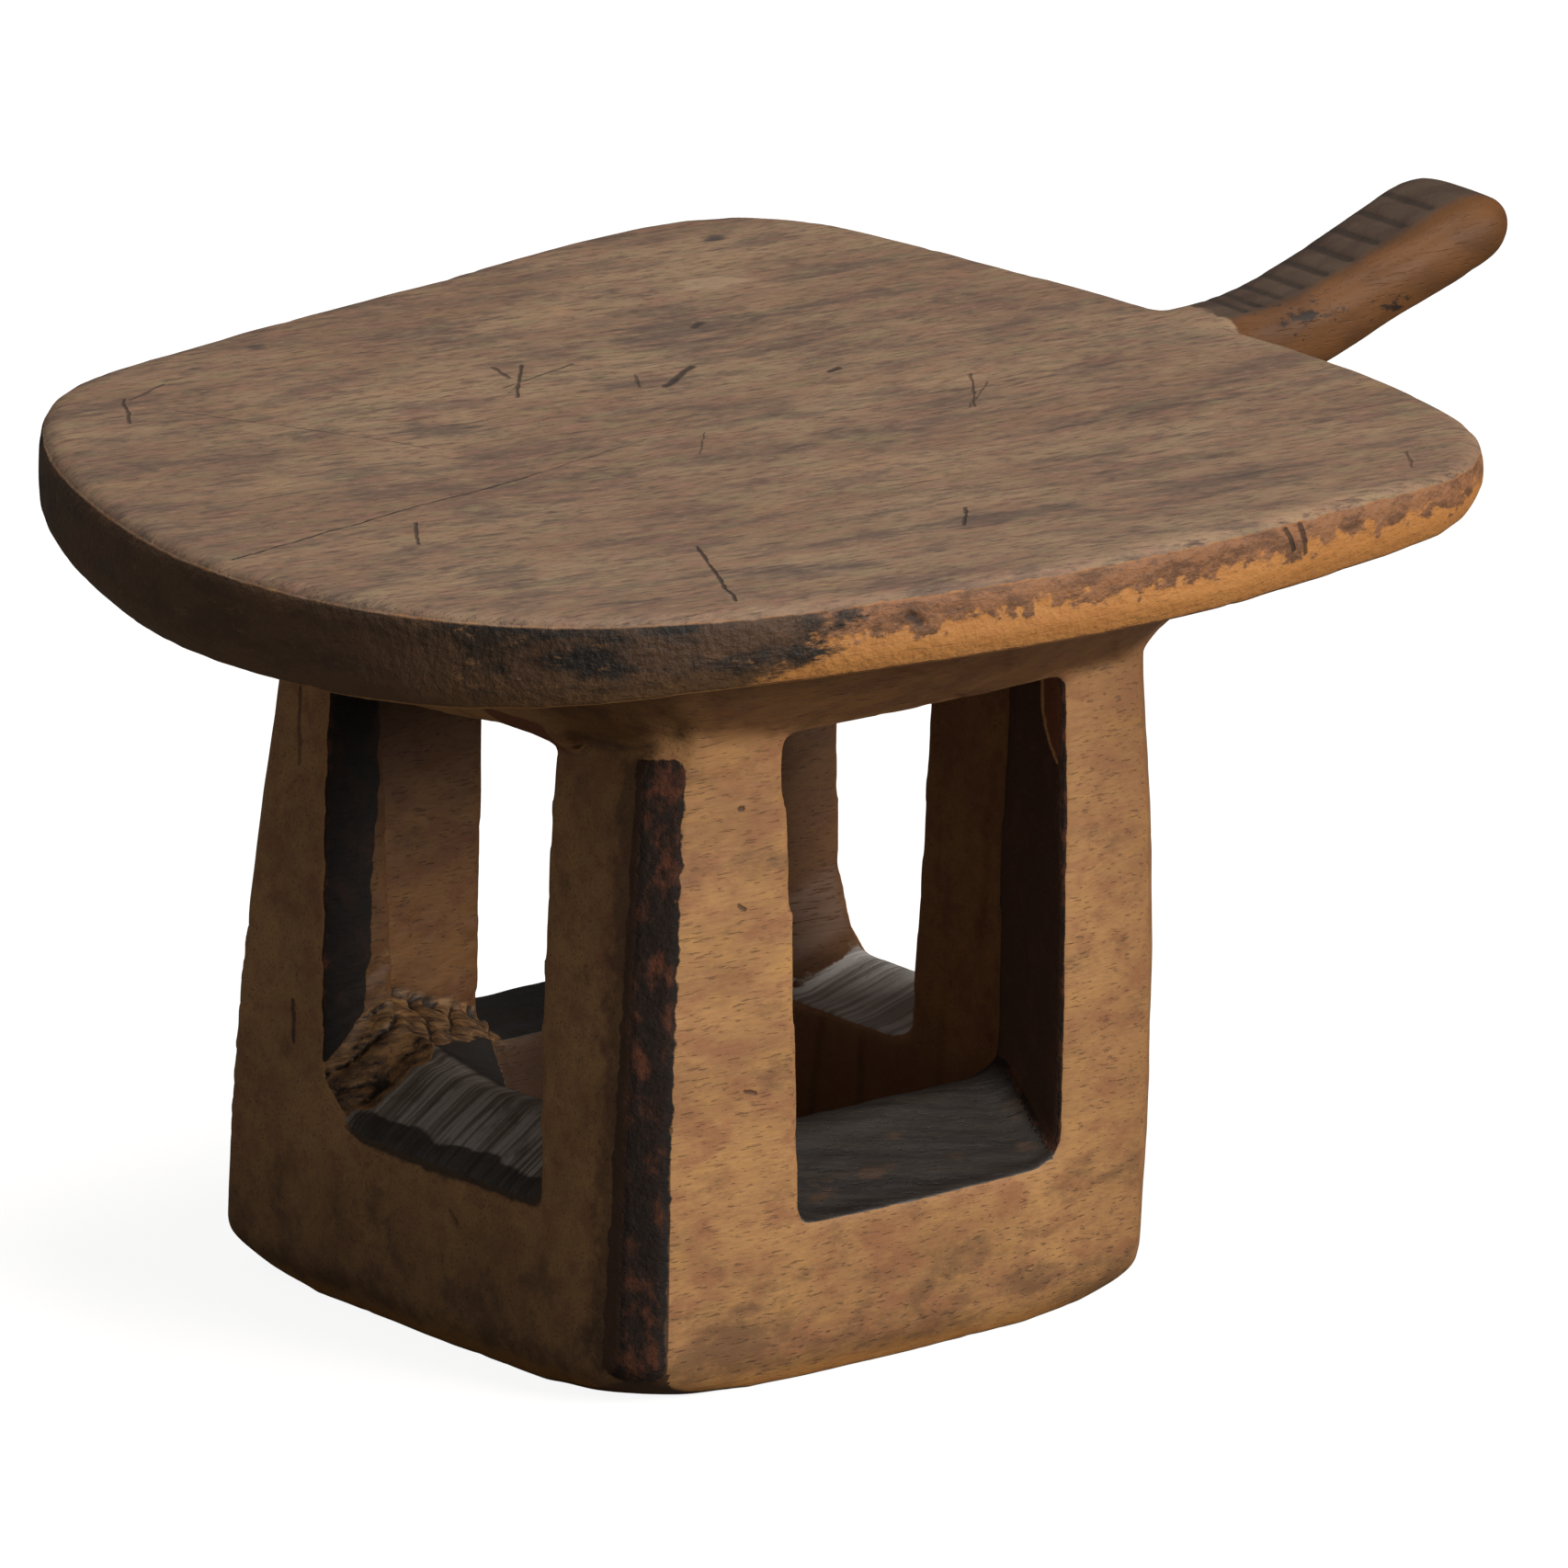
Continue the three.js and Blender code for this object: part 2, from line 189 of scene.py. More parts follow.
# Knife marks and cracks: start and end, width and depth. On the seat the places are x and y.
SEAT_MARKS = [
    ((-176, -17), (-55, 1), 0.7, 1.0),
    ((-55, 1), (-10, 8), 0.45, 0.5),
    ((-99, 100), (-63, 37), 0.55, 0.55),
    ((5, 79), (-14, 58), 1.1, 0.9),
    ((-12, 66), (17, 72), 0.8, 0.7),
    ((-3, 82), (-5, 72), 1.4, 0.8),
    ((26, 43), (43, 53), 2.2, 1.0),
    ((26, 56), (20, 47), 1.0, 0.6),
    ((-113, -18), (-125, -34), 1.0, 0.9),
    ((-67, -81), (-93, -128), 1.0, 1.0),
    ((-104, 116), (-117, 98), 1.0, 0.8),
    ((-103, 115), (-86, 121), 1.0, 0.6),
    ((-7, -11), (6, 3), 0.6, 0.5),
    ((97, -1), (81, -22), 0.8, 0.7),
    ((96, -9), (79, -22), 0.7, 0.5),
    ((14, -97), (3, -110), 1.1, 0.9),
    ((141, -131), (133, -143), 1.0, 0.6),
    ((67, 80), (71, 82), 2.2, 0.8),
    ((70, 26), (73, 27), 2.0, 1.0),
]
# On the right face and the right rim the places are x and z, on the front face y and z
RIGHT_MARKS = [
    ((-58, 166), (-57, 166), 1.3, 0.9),
    ((-59, 139), (-57, 138), 1.2, 0.8),
    ((-57, 87), (-54, 86), 1.2, 0.8),
    ((75, 237), (77, 231), 1.3, 1.0),
    ((80, 237), (82, 229), 1.6, 1.0),
    ((-50, 233), (-47, 231), 3.2, 0.9),
]
FRONT_MARKS = [
    ((58.5, 81), (57.5, 70), 1.6, 0.9),
    ((66, 168), (64.5, 158), 1.2, 0.8),
    ((65, 160), (63, 147), 1.5, 0.7),
    ((-12, 39), (-15, 37), 1.8, 0.6),
]
# Stains on the seat: middle, half length along the grain, half width, strength
SMUDGES = [
    ((122, 137), 6, 4, 0.9),
    ((-44, 132), 4, 3, 0.7),
    ((-47, 46), 20, 7, 0.6),
    ((61, 80), 30, 12, 0.55),
    ((19, 50), 14, 6, 0.55),
    ((-72, -116), 46, 8, 0.4),
    ((-128, -72), 16, 12, 0.35),
    ((-94, 29), 30, 9, 0.35),
    ((20, -111), 44, 7, 0.45),
    ((75, -119), 38, 8, 0.45),
    ((116, -53), 30, 7, 0.35),
    ((-70, 127), 3, 2, 0.6),
    ((117, 72), 26, 4, 0.35),
]
PALE_SMUDGE = ((96, 106), 15, 7, 0.5)
# Marks wander from a straight line by this much, in waves of this scale
BEND = 1.2
BEND_SCALE = 0.12
# Stains on the tail's right side: place, and half length and half height
TAIL_STAINS = [((233, -17, 238), 13, 4), ((207, -17, 239), 17, 6)]


def colour(red, green, blue):
    """A colour as the eye reads it, from 0 to 255, in the renderer's own scale."""
    parts = [part / 255 for part in (red, green, blue)]
    linear = [((part + 0.055) / 1.055) ** 2.4 if part > 0.04045 else part / 12.92 for part in parts]
    return (*linear, 1.0)


# Sculpting

def soft(distance, width):
    """0 below zero and 1 above, with an even ramp of that width between."""
    return np.clip(0.5 + distance / width, 0, 1)


def lumps(points, size, seed=0):
    """Even noise from -1 to 1 over the points, with lumps of that size, or of three sizes."""
    scaled = points / np.asarray(size, float) + seed * 17.3
    return np.array([noise.noise(point) for point in scaled.tolist()])


def facets(points, where, size, seed=0):
    """Flat facets with a random tilt each, as a blade leaves them, from about -1 to 1, where asked."""
    depth = np.zeros(len(points))
    chosen = np.flatnonzero(where > 0)
    scaled = points[chosen] / np.asarray(size, float) + seed * 17.3
    for index, point in zip(chosen, scaled.tolist()):
        middle = noise.voronoi(point)[1][0]
        depth[index] = (Vector(point) - middle).dot(noise.cell_vector(middle * 7.7))
    return depth * where


class Carving:
    """The whole stool as one mesh, with its points as an array in millimetres."""

    def __init__(self, mesh):
        self.mesh = mesh
        self.count = len(mesh.vertices)
        flat = np.empty(self.count * 3, np.float32)
        mesh.vertices.foreach_get("co", flat)
        self.points = (flat.reshape(-1, 3).astype(float) - np.array(FLOOR_MIDDLE)) / MM
        ends = np.empty(len(mesh.edges) * 2, np.int32)
        mesh.edges.foreach_get("vertices", ends)
        self.ends = ends.reshape(-1, 2)
        self.links = np.bincount(ends, minlength=self.count)

    def averages(self, values):
        """For each point, the mean of its neighbours' values."""
        first, second = self.ends.T
        total = np.bincount(first, values[second], self.count)
        total += np.bincount(second, values[first], self.count)
        return total / self.links

    def relax(self, rounds, share=1.0):
        """Moves each point towards the middle of its neighbours, by a share that may vary."""
        for _ in range(rounds):
            middles = np.stack([self.averages(self.points[:, axis]) for axis in range(3)], 1)
            self.points += (middles - self.points) * np.reshape(share, (-1, 1))

    def write(self):
        low, high = ((np.array(corner) - np.array(FLOOR_MIDDLE)) / MM for corner in CAD_BOX)
        self.points = np.clip(self.points, low, high)
        placed = self.points * MM + np.array(FLOOR_MIDDLE)
        self.mesh.vertices.foreach_set("co", placed.astype(np.float32).ravel())
        self.mesh.update()

    def directions(self):
        """The outward direction at each point."""
        self.write()
        flat = np.empty(self.count * 3, np.float32)
        self.mesh.vertex_normals.foreach_get("vector", flat)
        return flat.reshape(-1, 3).astype(float)

    def cut_in(self, depth):
        self.points -= self.directions() * depth[:, None]

    def paint(self, name, values):
        layers = self.mesh.attributes
        layer = layers.get(name) or layers.new(name, "FLOAT", "POINT")
        layer.data.foreach_set("value", np.asarray(values, np.float32))

    def paint_all(self, masks):
        for name, values in masks.items():
            self.paint(name, values)

    def painted(self, name):
        values = np.empty(self.count, np.float32)
        self.mesh.attributes[name].data.foreach_get("value", values)
        return values.astype(float)

    def heal(self):
        """A cut leaves new points unpainted: those beside painted ones take the mean of these."""
        known = self.painted("painted")
        weights = self.averages(known)
        bare = (known < 0.5) & (weights > 0)
        for layer in list(self.mesh.attributes):
            if layer.data_type == "FLOAT" and layer.domain == "POINT":
                values = self.painted(layer.name)
                values[bare] = self.averages(values * known)[bare] / weights[bare]
                self.paint(layer.name, values)


def new_object(name, mesh):
    made = bpy.data.objects.new(name, mesh)
    bpy.context.scene.collection.objects.link(made)
    return made


def shaped_by(body, kind, **settings):
    """The mesh that body has with one modifier of that kind, which is then taken off again."""
    modifier = body.modifiers.new(kind, kind)
    for key, value in settings.items():
        setattr(modifier, key, value)
    seen = body.evaluated_get(bpy.context.evaluated_depsgraph_get())
    mesh = bpy.data.meshes.new_from_object(seen)
    body.modifiers.remove(modifier)
    return mesh


def fused_block():
    """All the frame's solids grown into each other and remeshed into one closed surface."""
    joined = bmesh.new()
    for node in frame["nodes"].values():
        part = bmesh.new()
        part.from_mesh(node.data)
        bmesh.ops.remove_doubles(part, verts=part.verts, dist=1e-6)
        part.normal_update()
        for vertex in part.verts:
            vertex.co += vertex.normal * JOIN_OVERLAP * MM
        grown = bpy.data.meshes.new("grown")
        part.to_mesh(grown)
        part.free()
        joined.from_mesh(grown)
        bpy.data.meshes.remove(grown)
    web = bmesh.new()
    for corner in WEB:
        web.verts.new(Vector(corner) * MM + FLOOR_MIDDLE)
    bmesh.ops.convex_hull(web, input=web.verts)
    mesh = bpy.data.meshes.new("block")
    web.to_mesh(mesh)
    web.free()
    joined.from_mesh(mesh)
    joined.to_mesh(mesh)
    joined.free()
    rough_block = new_object("block", mesh)
    fine = shaped_by(rough_block, "REMESH", mode="VOXEL", voxel_size=MESH_SIZE * MM)
    bpy.data.objects.remove(rough_block)
    return Carving(fine)


def seat_line(x, y):
    """Height where the base meets the seat's underside."""
    across = x / (WALL_OUT * 2) + 0.5
    back = y / (WALL_OUT * 2) + 0.5
    near = NEAR_LINE + (RIGHT_LINE - NEAR_LINE) * across
    far = LEFT_LINE + (FAR_LINE - LEFT_LINE) * across
    return near + (far - near) * back


def smooth_step(value, low, high):
    share = np.clip((value - low) / (high - low), 0, 1)
    return share * share * (3 - 2 * share)


def rim_foot(x):
    """Height of the rim's lower edge: lower at the front, higher at the tail."""
    front = smooth_step(-x, SEAT_HALF_LENGTH / 2, SEAT_HALF_LENGTH)
    back = smooth_step(x, SEAT_HALF_LENGTH / 4, SEAT_HALF_LENGTH)
    return RIM_FOOT - RIM_FRONT_DROP * front + RIM_BACK_RISE * back


# Rounding the block and fitting it to the photographed stool

def soften_edges(block):
    """Rounds all edges a little, and the seat's underside and the base's foot corners more."""
    block.relax(EDGE_ROUNDS)
    x, y, z = block.points.T
    reach = np.maximum(np.abs(x - BASE_LEAN), np.abs(y + BASE_LEAN))
    under_seat = soft(z - seat_line(x, y) - 9, 10) * soft(rim_foot(x) - 3 - z, 5) * soft(reach - 99, 6)
    block.relax(UNDERSIDE_ROUNDS, under_seat)
    to_corner = np.hypot(WALL_OUT - np.abs(x), WALL_OUT - np.abs(y))
    block.relax(FOOT_ROUNDS, soft(9 - z, 10) * soft(34 - to_corner, 16))


def lift_post_tops(block):
    """The posts' outer corners run up higher into the seat than the window tops between them."""
    x, y, z = block.points.T
    reach = np.maximum(np.abs(x - BASE_LEAN), np.abs(y + BASE_LEAN))
    cornered = soft(np.minimum(np.abs(x - BASE_LEAN), np.abs(y + BASE_LEAN)) - 78, 12)
    near_line = np.clip(1 - np.abs(z - seat_line(x, y) - 2) / 24, 0, 1)
    near_post = soft(-x - 10, 40)
    lift = CORNER_LIFT * (0.75 + 0.25 * near_post) * soft(103 + 9 * near_post - reach, 28)
    block.points[:, 2] += lift * cornered * near_line


def hang_torn_bit(block):
    """A torn bit hangs from the front window's top, beside the near post."""
    x, y, z = block.points.T
    hanging = np.clip((-y - 20) / 28, 0, 1) * soft(y + 56, 6) * soft(-x - 62, 8) * soft(x + 93, 4)
    hanging *= np.clip(1 - np.abs(z - SLIVER_TOP) / 14, 0, 1)
    block.points[:, 2] -= HANGING_DROP * hanging


def lean_near_corner(block):
    """The near corner leans back to the left, towards its top."""
    x, y, z = block.points.T
    corner_distance = np.hypot(x + WALL_OUT, y + WALL_OUT)
    lean = NEAR_CORNER_SHIFT + NEAR_CORNER_LEAN * z / BASE_TOP
    shift = lean * soft(36 - corner_distance, 40) * soft(BASE_TOP - 4 - z, 12)
    block.points[:, 0] -= shift * DIAGONAL
    block.points[:, 1] += shift * DIAGONAL


class Stretches:
    """Where the carving's stretches are: for each point 0 outside a stretch and 1 in it."""

    def __init__(self, block):
        normals = block.directions()
        x, y, z = block.points.T
        nx, ny, nz = normals.T
        rounded = Carving(block.mesh)
        rounded.relax(EDGE_FINDING_ROUNDS)
        self.edge = np.einsum("ij,ij->i", block.points - rounded.points, normals)
        self.in_base = soft(seat_line(x, y) - z, 3)
        lean = BASE_LEAN * z / BASE_TOP
        self.outward = np.maximum(np.abs(x - lean), np.abs(y + lean))
        self.hollow = soft(WALL_IN + 4 - self.outward, 3) * soft(SEAT_TOP - 20 - z, 4)
        self.inner_wall = self.in_base * self.hollow * soft(0.4 - np.abs(nz), 0.2)
        self.in_window = self.in_base * soft(z - WINDOW_FOOT, 4) * soft(WALL_OUT + 4 - self.outward, 2)
        flatness = 0.35 + 0.4 * soft(x - 56, 6)
        self.sill = self.in_window * soft(nz - flatness, 0.3) * soft(HIGHEST_SILL - z, 8)
        beyond = x - TORN_CORNER[0]
        slanted = np.maximum(TORN_SLOPES[0] * beyond, TORN_SLOPES[1] * beyond)
        self.torn_edge = TORN_CORNER[1] + slanted + 3 * lumps(block.points, 7, 12)
        self.torn = self.in_window * soft(-x - 10, 6) * soft(y - self.torn_edge, 4) * soft(nz - 0.1, 0.3)
        self.torn *= soft(TORN_TOP - z, 8) * soft(0.85 - np.abs(nx), 0.15)
        front_wall = soft(-x - WALL_IN + 5, 4) * soft(-x - WALL_IN + 5, 3) * soft(x + WALL_IN + 7, 6)
        self.ragged = front_wall * soft(y - FRONT_JAMB, 6) * self.in_base
        self.top = soft(z - SEAT_TOP + 6, 5) * soft(nz - 0.5, 0.5) * soft(SEAT_HALF_LENGTH - 1 - x, 8)
        self.under = soft(rim_foot(x) - 2 - z, 3) * soft(-nz - 0.2, 0.3) * (1 - self.in_base)
        self.notched = notches(x, y, z, nz)
        rising_splinters = np.stack([x, y, z - 0.35 * x], 1)
        cracks = np.abs(lumps(rising_splinters, (34, 16, 6), 9))
        self.crevice = self.torn * np.clip(1 - cracks / 0.12, 0, 1)


def notches(x, y, z, nz):
    """Notches across the tail, spreading towards its tip and stopping short of its right ridge."""
    notched = np.zeros(len(x))
    for run in np.linspace(0, 1, NOTCHES) ** 1.2:
        place = SEAT_HALF_LENGTH + TAIL_REACH * (0.08 + 0.69 * run)
        notched = np.maximum(notched, np.clip(1 - np.abs(x - place) / NOTCH_HALF_WIDTH, 0, 1))
    return notched * soft(y + 6, 3) * soft(nz + 0.1, 0.3) * (z > SEAT_TOP - 6)


def carve_details(block, at):
    """Waves, tool facets, ridged sills, splinters, chipped edges and notches."""
    points = block.points
    y = points[:, 1]
    depth = 0.35 * lumps(points, (60, 40, 40), 1) + 0.12 * lumps(points, 9, 2)
    depth += 0.7 * facets(points, at.inner_wall, (16, 16, 70), 3)
    depth += 0.6 * facets(points, at.under, (34, 34, 20), 8)
    depth += at.sill * (0.5 * np.abs(lumps(points, (60, 4, 60), 4)) + 0.4 * lumps(points, 12, 5))
    depth += CREVICE_DEPTH * at.crevice + 1.3 * at.torn * lumps(points, (10, 6, 6), 10)
    chips = np.clip(lumps(points, 6, 6) - 0.3, 0, 1)
    worn_edge = np.clip(at.edge, 0, 1)
    depth += worn_edge * (0.3 + 0.3 * lumps(points, 35, 7) + 0.9 * chips)
    depth += at.ragged * worn_edge * 1.4 * np.abs(lumps(points, (4, 4, 3), 11))
    depth += NOTCH_DEPTH * at.notched * soft(12 - y, 6)
    block.cut_in(depth)
    block.relax(1, 0.5)
    block.write()


# Paint masks

def corner_strip(x, y, z):
    """The scorched strip down the near corner, and the singed wood to its left."""
    up = z / BASE_TOP
    half_width = STRIP_FOOT_HALF_WIDTH - STRIP_NARROWING * up
    from_middle = (x - y) / math.sqrt(2) - (STRIP_FOOT_MIDDLE + STRIP_LEAN * up)
    near_corner = soft(-(x + y) - 150, 10) * soft(z - 9, 8) * soft(NEAR_LINE - 3 - z, 4)
    scorch = soft(half_width - np.abs(from_middle), 4) * near_corner
    singe = soft(half_width - np.abs(from_middle + 5), 10) * near_corner
    return scorch, singe


def paint_base(block, at, waver):
    """Masks of the scorched strip and jambs, the sliver, the sills, the torn corner and the faces."""
    x, y, z = block.points.T
    nx, ny, nz = block.directions().T
    corner_scorch, corner_singe = corner_strip(x, y, z)
    front_jamb = soft(-ny - 0.5, 0.3) * soft(y - FRONT_JAMB, 3)
    front_jamb *= soft(-x - SCORCH_EDGE - (175 - z) * SCORCH_EDGE_SLANT + waver, 2)
    front_jamb *= soft(z - SCORCH_FOOT - (x + 89.5) * SCORCH_FOOT_SLANT + waver, 3)
    right_jamb = soft(-nx - 0.5, 0.3) * soft(-y - WALL_IN + 1, 2)
    right_jamb *= soft(x - RIGHT_JAMB, 3) * soft(z - 44, 4)
    fallen = np.clip((SLIVER_TOP - z) / SLIVER_LENGTH, 0, 1)
    sliver_side = SLIVER_WIDTH * (1 - fallen ** 3) - 90.5
    sliver = soft(sliver_side - y, 1.2) * soft(y + 89.5, 1.2) * (fallen > 0)
    sliver_edge = sliver * soft(y + 1.2 - sliver_side, 1)
    hanging = soft(-y - 24, 8) * soft(y + 48, 2) * soft(-x - 64, 4) * soft(z - 176, 3) * soft(186 - z, 2)
    jamb_scorch = np.maximum(front_jamb, right_jamb * (1 - sliver)) * at.in_base
    web_top = soft(WALL_IN + 2 - at.outward, 3) * soft(-x - 5, 8)
    far_left = soft(y - WALL_IN + 3, 4) * soft(x + 60, 20)
    lip = at.in_window * soft(-x - 86 + waver, 3) * soft(at.torn_edge - y, 12)
    facing_out = np.where(np.abs(x - BASE_LEAN) > np.abs(y + BASE_LEAN), np.abs(nx), np.abs(ny))
    reveals = at.in_base * soft(92 - at.outward, 4) * soft(0.6 - facing_out, 0.3)
    block.paint_all({
        "scorch": np.maximum(corner_scorch, jamb_scorch),
        "singe": np.maximum(corner_singe, jamb_scorch),
        "sliver": np.maximum(sliver * right_jamb, hanging),
        "sliver_edge": sliver_edge * right_jamb,
        "sill": at.sill * (1 - at.torn),
        "dark_sill": soft(-y - WALL_IN + 4, 4) * at.sill,
        "near_black_sill": np.maximum(far_left, web_top) * at.sill,
        "far_sill_painted_light": soft(x - WALL_IN + 6, 4) * at.sill,
        "lip": lip * soft(nz - 0.1, 0.3) * soft(72 - z, 6),
        "torn": at.torn,
        "crevice": at.crevice,
        "ridge": np.clip(at.edge, 0, 1) * at.in_base * soft(x + y + 136, 20),
        "crease": np.clip(-at.edge, 0, 1),
        "inside": np.maximum(at.hollow, reveals),
        "facing_right": soft(-ny - 0.3, 0.4),
        "right_face": soft(-ny - 0.5, 0.3),
        "front_face": soft(-nx - 0.5, 0.3) * soft(-x - 80, 4),
    })


def paint_seat(block, at):
    """Masks of the seat's top, rim and underside and of the tail."""
    x, y, z = block.points.T
    nz = block.directions()[:, 2]
    rim_side = soft(z - rim_foot(x) + 1, 3) * (1 - at.top) * soft(0.75 - np.abs(nz), 0.3)
    below_rim = soft(rim_foot(x) - 2 - z, 3)
    turned_in = below_rim * soft(0.15 - nz, 0.3) * (1 - at.in_base)
    # The underside over the near corner takes the rim's painted shadow too
    over_corner = soft(-(x + y) - 145, 12) * soft(z - 189, 8) * below_rim
    block.paint_all({
        "seat": at.top,
        "rim": rim_side * soft(SEAT_HALF_LENGTH + 3 - x, 3),
        "rim_height": np.clip((z - rim_foot(x)) / (SEAT_TOP - rim_foot(x)), 0, 1),
        "flare": np.maximum(turned_in * soft(at.outward - WALL_OUT + 4, 6), over_corner),
        "tail": soft(x - SEAT_HALF_LENGTH + 6, 8) * soft(z - 200, 4) * soft(TAIL_HALF_WIDTH - np.abs(y), 4),
        "notch": at.notched,
    })


block = fused_block()
soften_edges(block)
lift_post_tops(block)
hang_torn_bit(block)
lean_near_corner(block)
stretches = Stretches(block)
carve_details(block, stretches)
waver = 1.2 * lumps(block.points, (9, 9, 4), 13) + 0.8 * lumps(block.points, (9, 9, 16), 14)
paint_base(block, stretches, waver)
paint_seat(block, stretches)
block.paint_all({"painted": np.ones(block.count)})


# Splitting along the frame's pieces

def closed_mesh(name, points, faces):
    mesh = bpy.data.meshes.new(name)
    placed = [Vector(point) * MM + FLOOR_MIDDLE for point in points]
    mesh.from_pydata(placed, [], faces)
    mesh.update()
    return new_object(name, mesh)


BOX_FACES = [(0, 3, 2, 1), (4, 5, 6, 7), (0, 1, 5, 4), (1, 2, 6, 5), (2, 3, 7, 6), (3, 0, 4, 7)]
CUTTER_REACH = 340
CUTTER_STEPS = 28
CUTTER_FOOT = -10

# The tail is cut off along a line across its root, slanting with the rim's back edge
TAIL_ROOT = SEAT_HALF_LENGTH - 3.2
TAIL_CUT = ((TAIL_ROOT - 13, 150), (TAIL_ROOT + 21, -150), (CUTTER_REACH, -150), (CUTTER_REACH, 150))
TAIL_CUT_HEIGHTS = (150, 300)


def above(name, height):
    """A cutter over everything above a height that varies with x and y."""
    places = np.linspace(-CUTTER_REACH, CUTTER_REACH, CUTTER_STEPS)
    size = len(places)
    points = [(px, py, float(height(px, py))) for py in places for px in places]
    points += [(px, py, SEAT_TOP * 2) for py in places for px in places]
    faces = []
    for row in range(size - 1):
        for column in range(size - 1):
            a = row * size + column
            b = a + size
            faces.append((a, b, b + 1, a + 1))
            faces.append(tuple(size * size + i for i in (a, a + 1, b + 1, b)))
    for step in range(size - 1):
        for a, b in (
            (step, step + 1),
            ((step + 1) * size - 1, (step + 2) * size - 1),
            (size * size - 1 - step, size * size - 2 - step),
            ((size - 1 - step) * size, (size - 2 - step) * size),
        ):
            faces.append((a, b, b + size * size, a + size * size))
    return closed_mesh(name, points, faces)


def prism(name, foot, head, low, high):
    """A cutter between two four-sided outlines at two heights."""
    points = [(px, py, low) for px, py in foot] + [(px, py, high) for px, py in head]
    return closed_mesh(name, points, BOX_FACES)


def window_cutter(name, plan):
    """The stretch of one wall between a window's jambs, up to the top of its sill."""
    turn = Matrix.Rotation(plan["turn"] * math.pi / 2, 2)

    def outline(height):
        share = (height - JAMB_FOOT_HEIGHT) / (BASE_TOP - JAMB_FOOT_HEIGHT)
        left = -(plan["left"][0] + (plan["left"][1] - plan["left"][0]) * share) + JAMB_TRIM
        right = plan["right"][0] + (plan["right"][1] - plan["right"][0]) * share - JAMB_TRIM
        outer, inner = -WALL_OUT * 2, -WALL_IN / 2
        corners = ((left, outer), (right, outer), (right, inner), (left, inner))
        return [tuple(turn @ Vector(corner)) for corner in corners]

    return prism(name, outline(CUTTER_FOOT), outline(plan["top"]), CUTTER_FOOT, plan["top"])


def cut(body, cutter, operation):
    return shaped_by(body, "BOOLEAN", operation=operation, solver="MANIFOLD", object=cutter)


def split(body, cutter):
    """What of body lies in the cutter, and the rest."""
    inside = cut(body, cutter, "INTERSECT")
    outside = cut(body, cutter, "DIFFERENCE")
    return new_object("inside", inside), new_object("outside", outside)


whole = new_object("whole", block.mesh)
seat_and_tail, base = split(whole, above("over_the_base", seat_line))
rim_and_tail, underside = split(seat_and_tail, above("over_the_underside", lambda px, py: rim_foot(px)))
tail, slab = split(rim_and_tail, prism("behind_the_rim", TAIL_CUT, TAIL_CUT, *TAIL_CUT_HEIGHTS))
pieces = {"seat_slab": slab, "seat_underside": underside, "tail_handle": tail}
posts = base
for node, plan in WINDOWS.items():
    pieces[node], posts = split(posts, window_cutter("cut_" + node, plan))
for node, (side, back) in POSTS.items():
    far_x, far_y = side * CUTTER_REACH, back * CUTTER_REACH
    corners = [(0, 0), (far_x, 0), (far_x, far_y), (0, far_y)]
    if side * back < 0:
        corners.reverse()
    quarter = prism("cut_" + node, corners, corners, CUTTER_FOOT, SEAT_TOP)
    pieces[node] = new_object(node, cut(posts, quarter, "INTERSECT"))
for piece in pieces.values():
    for _ in range(HEAL_ROUNDS):
        Carving(piece.data).heal()


# Shader maths

class Value:
    """A number or colour that varies over the wood. Arithmetic on it adds Math nodes."""

    def __init__(self, recipe, socket):
        self.recipe = recipe
        self.socket = socket

    def maths(self, operation, *terms):
        return self.recipe.node("ShaderNodeMath", {"operation": operation}, dict(enumerate(terms)))

    def __add__(self, other):
        return self.maths("ADD", self, other)

    def __sub__(self, other):
        return self.maths("SUBTRACT", self, other)

    def __rsub__(self, other):
        return self.maths("SUBTRACT", other, self)

    def __mul__(self, other):
        return self.maths("MULTIPLY", self, other)

    def larger(self, other):
        return self.maths("MAXIMUM", self, other)

    __radd__ = __add__
    __rmul__ = __mul__


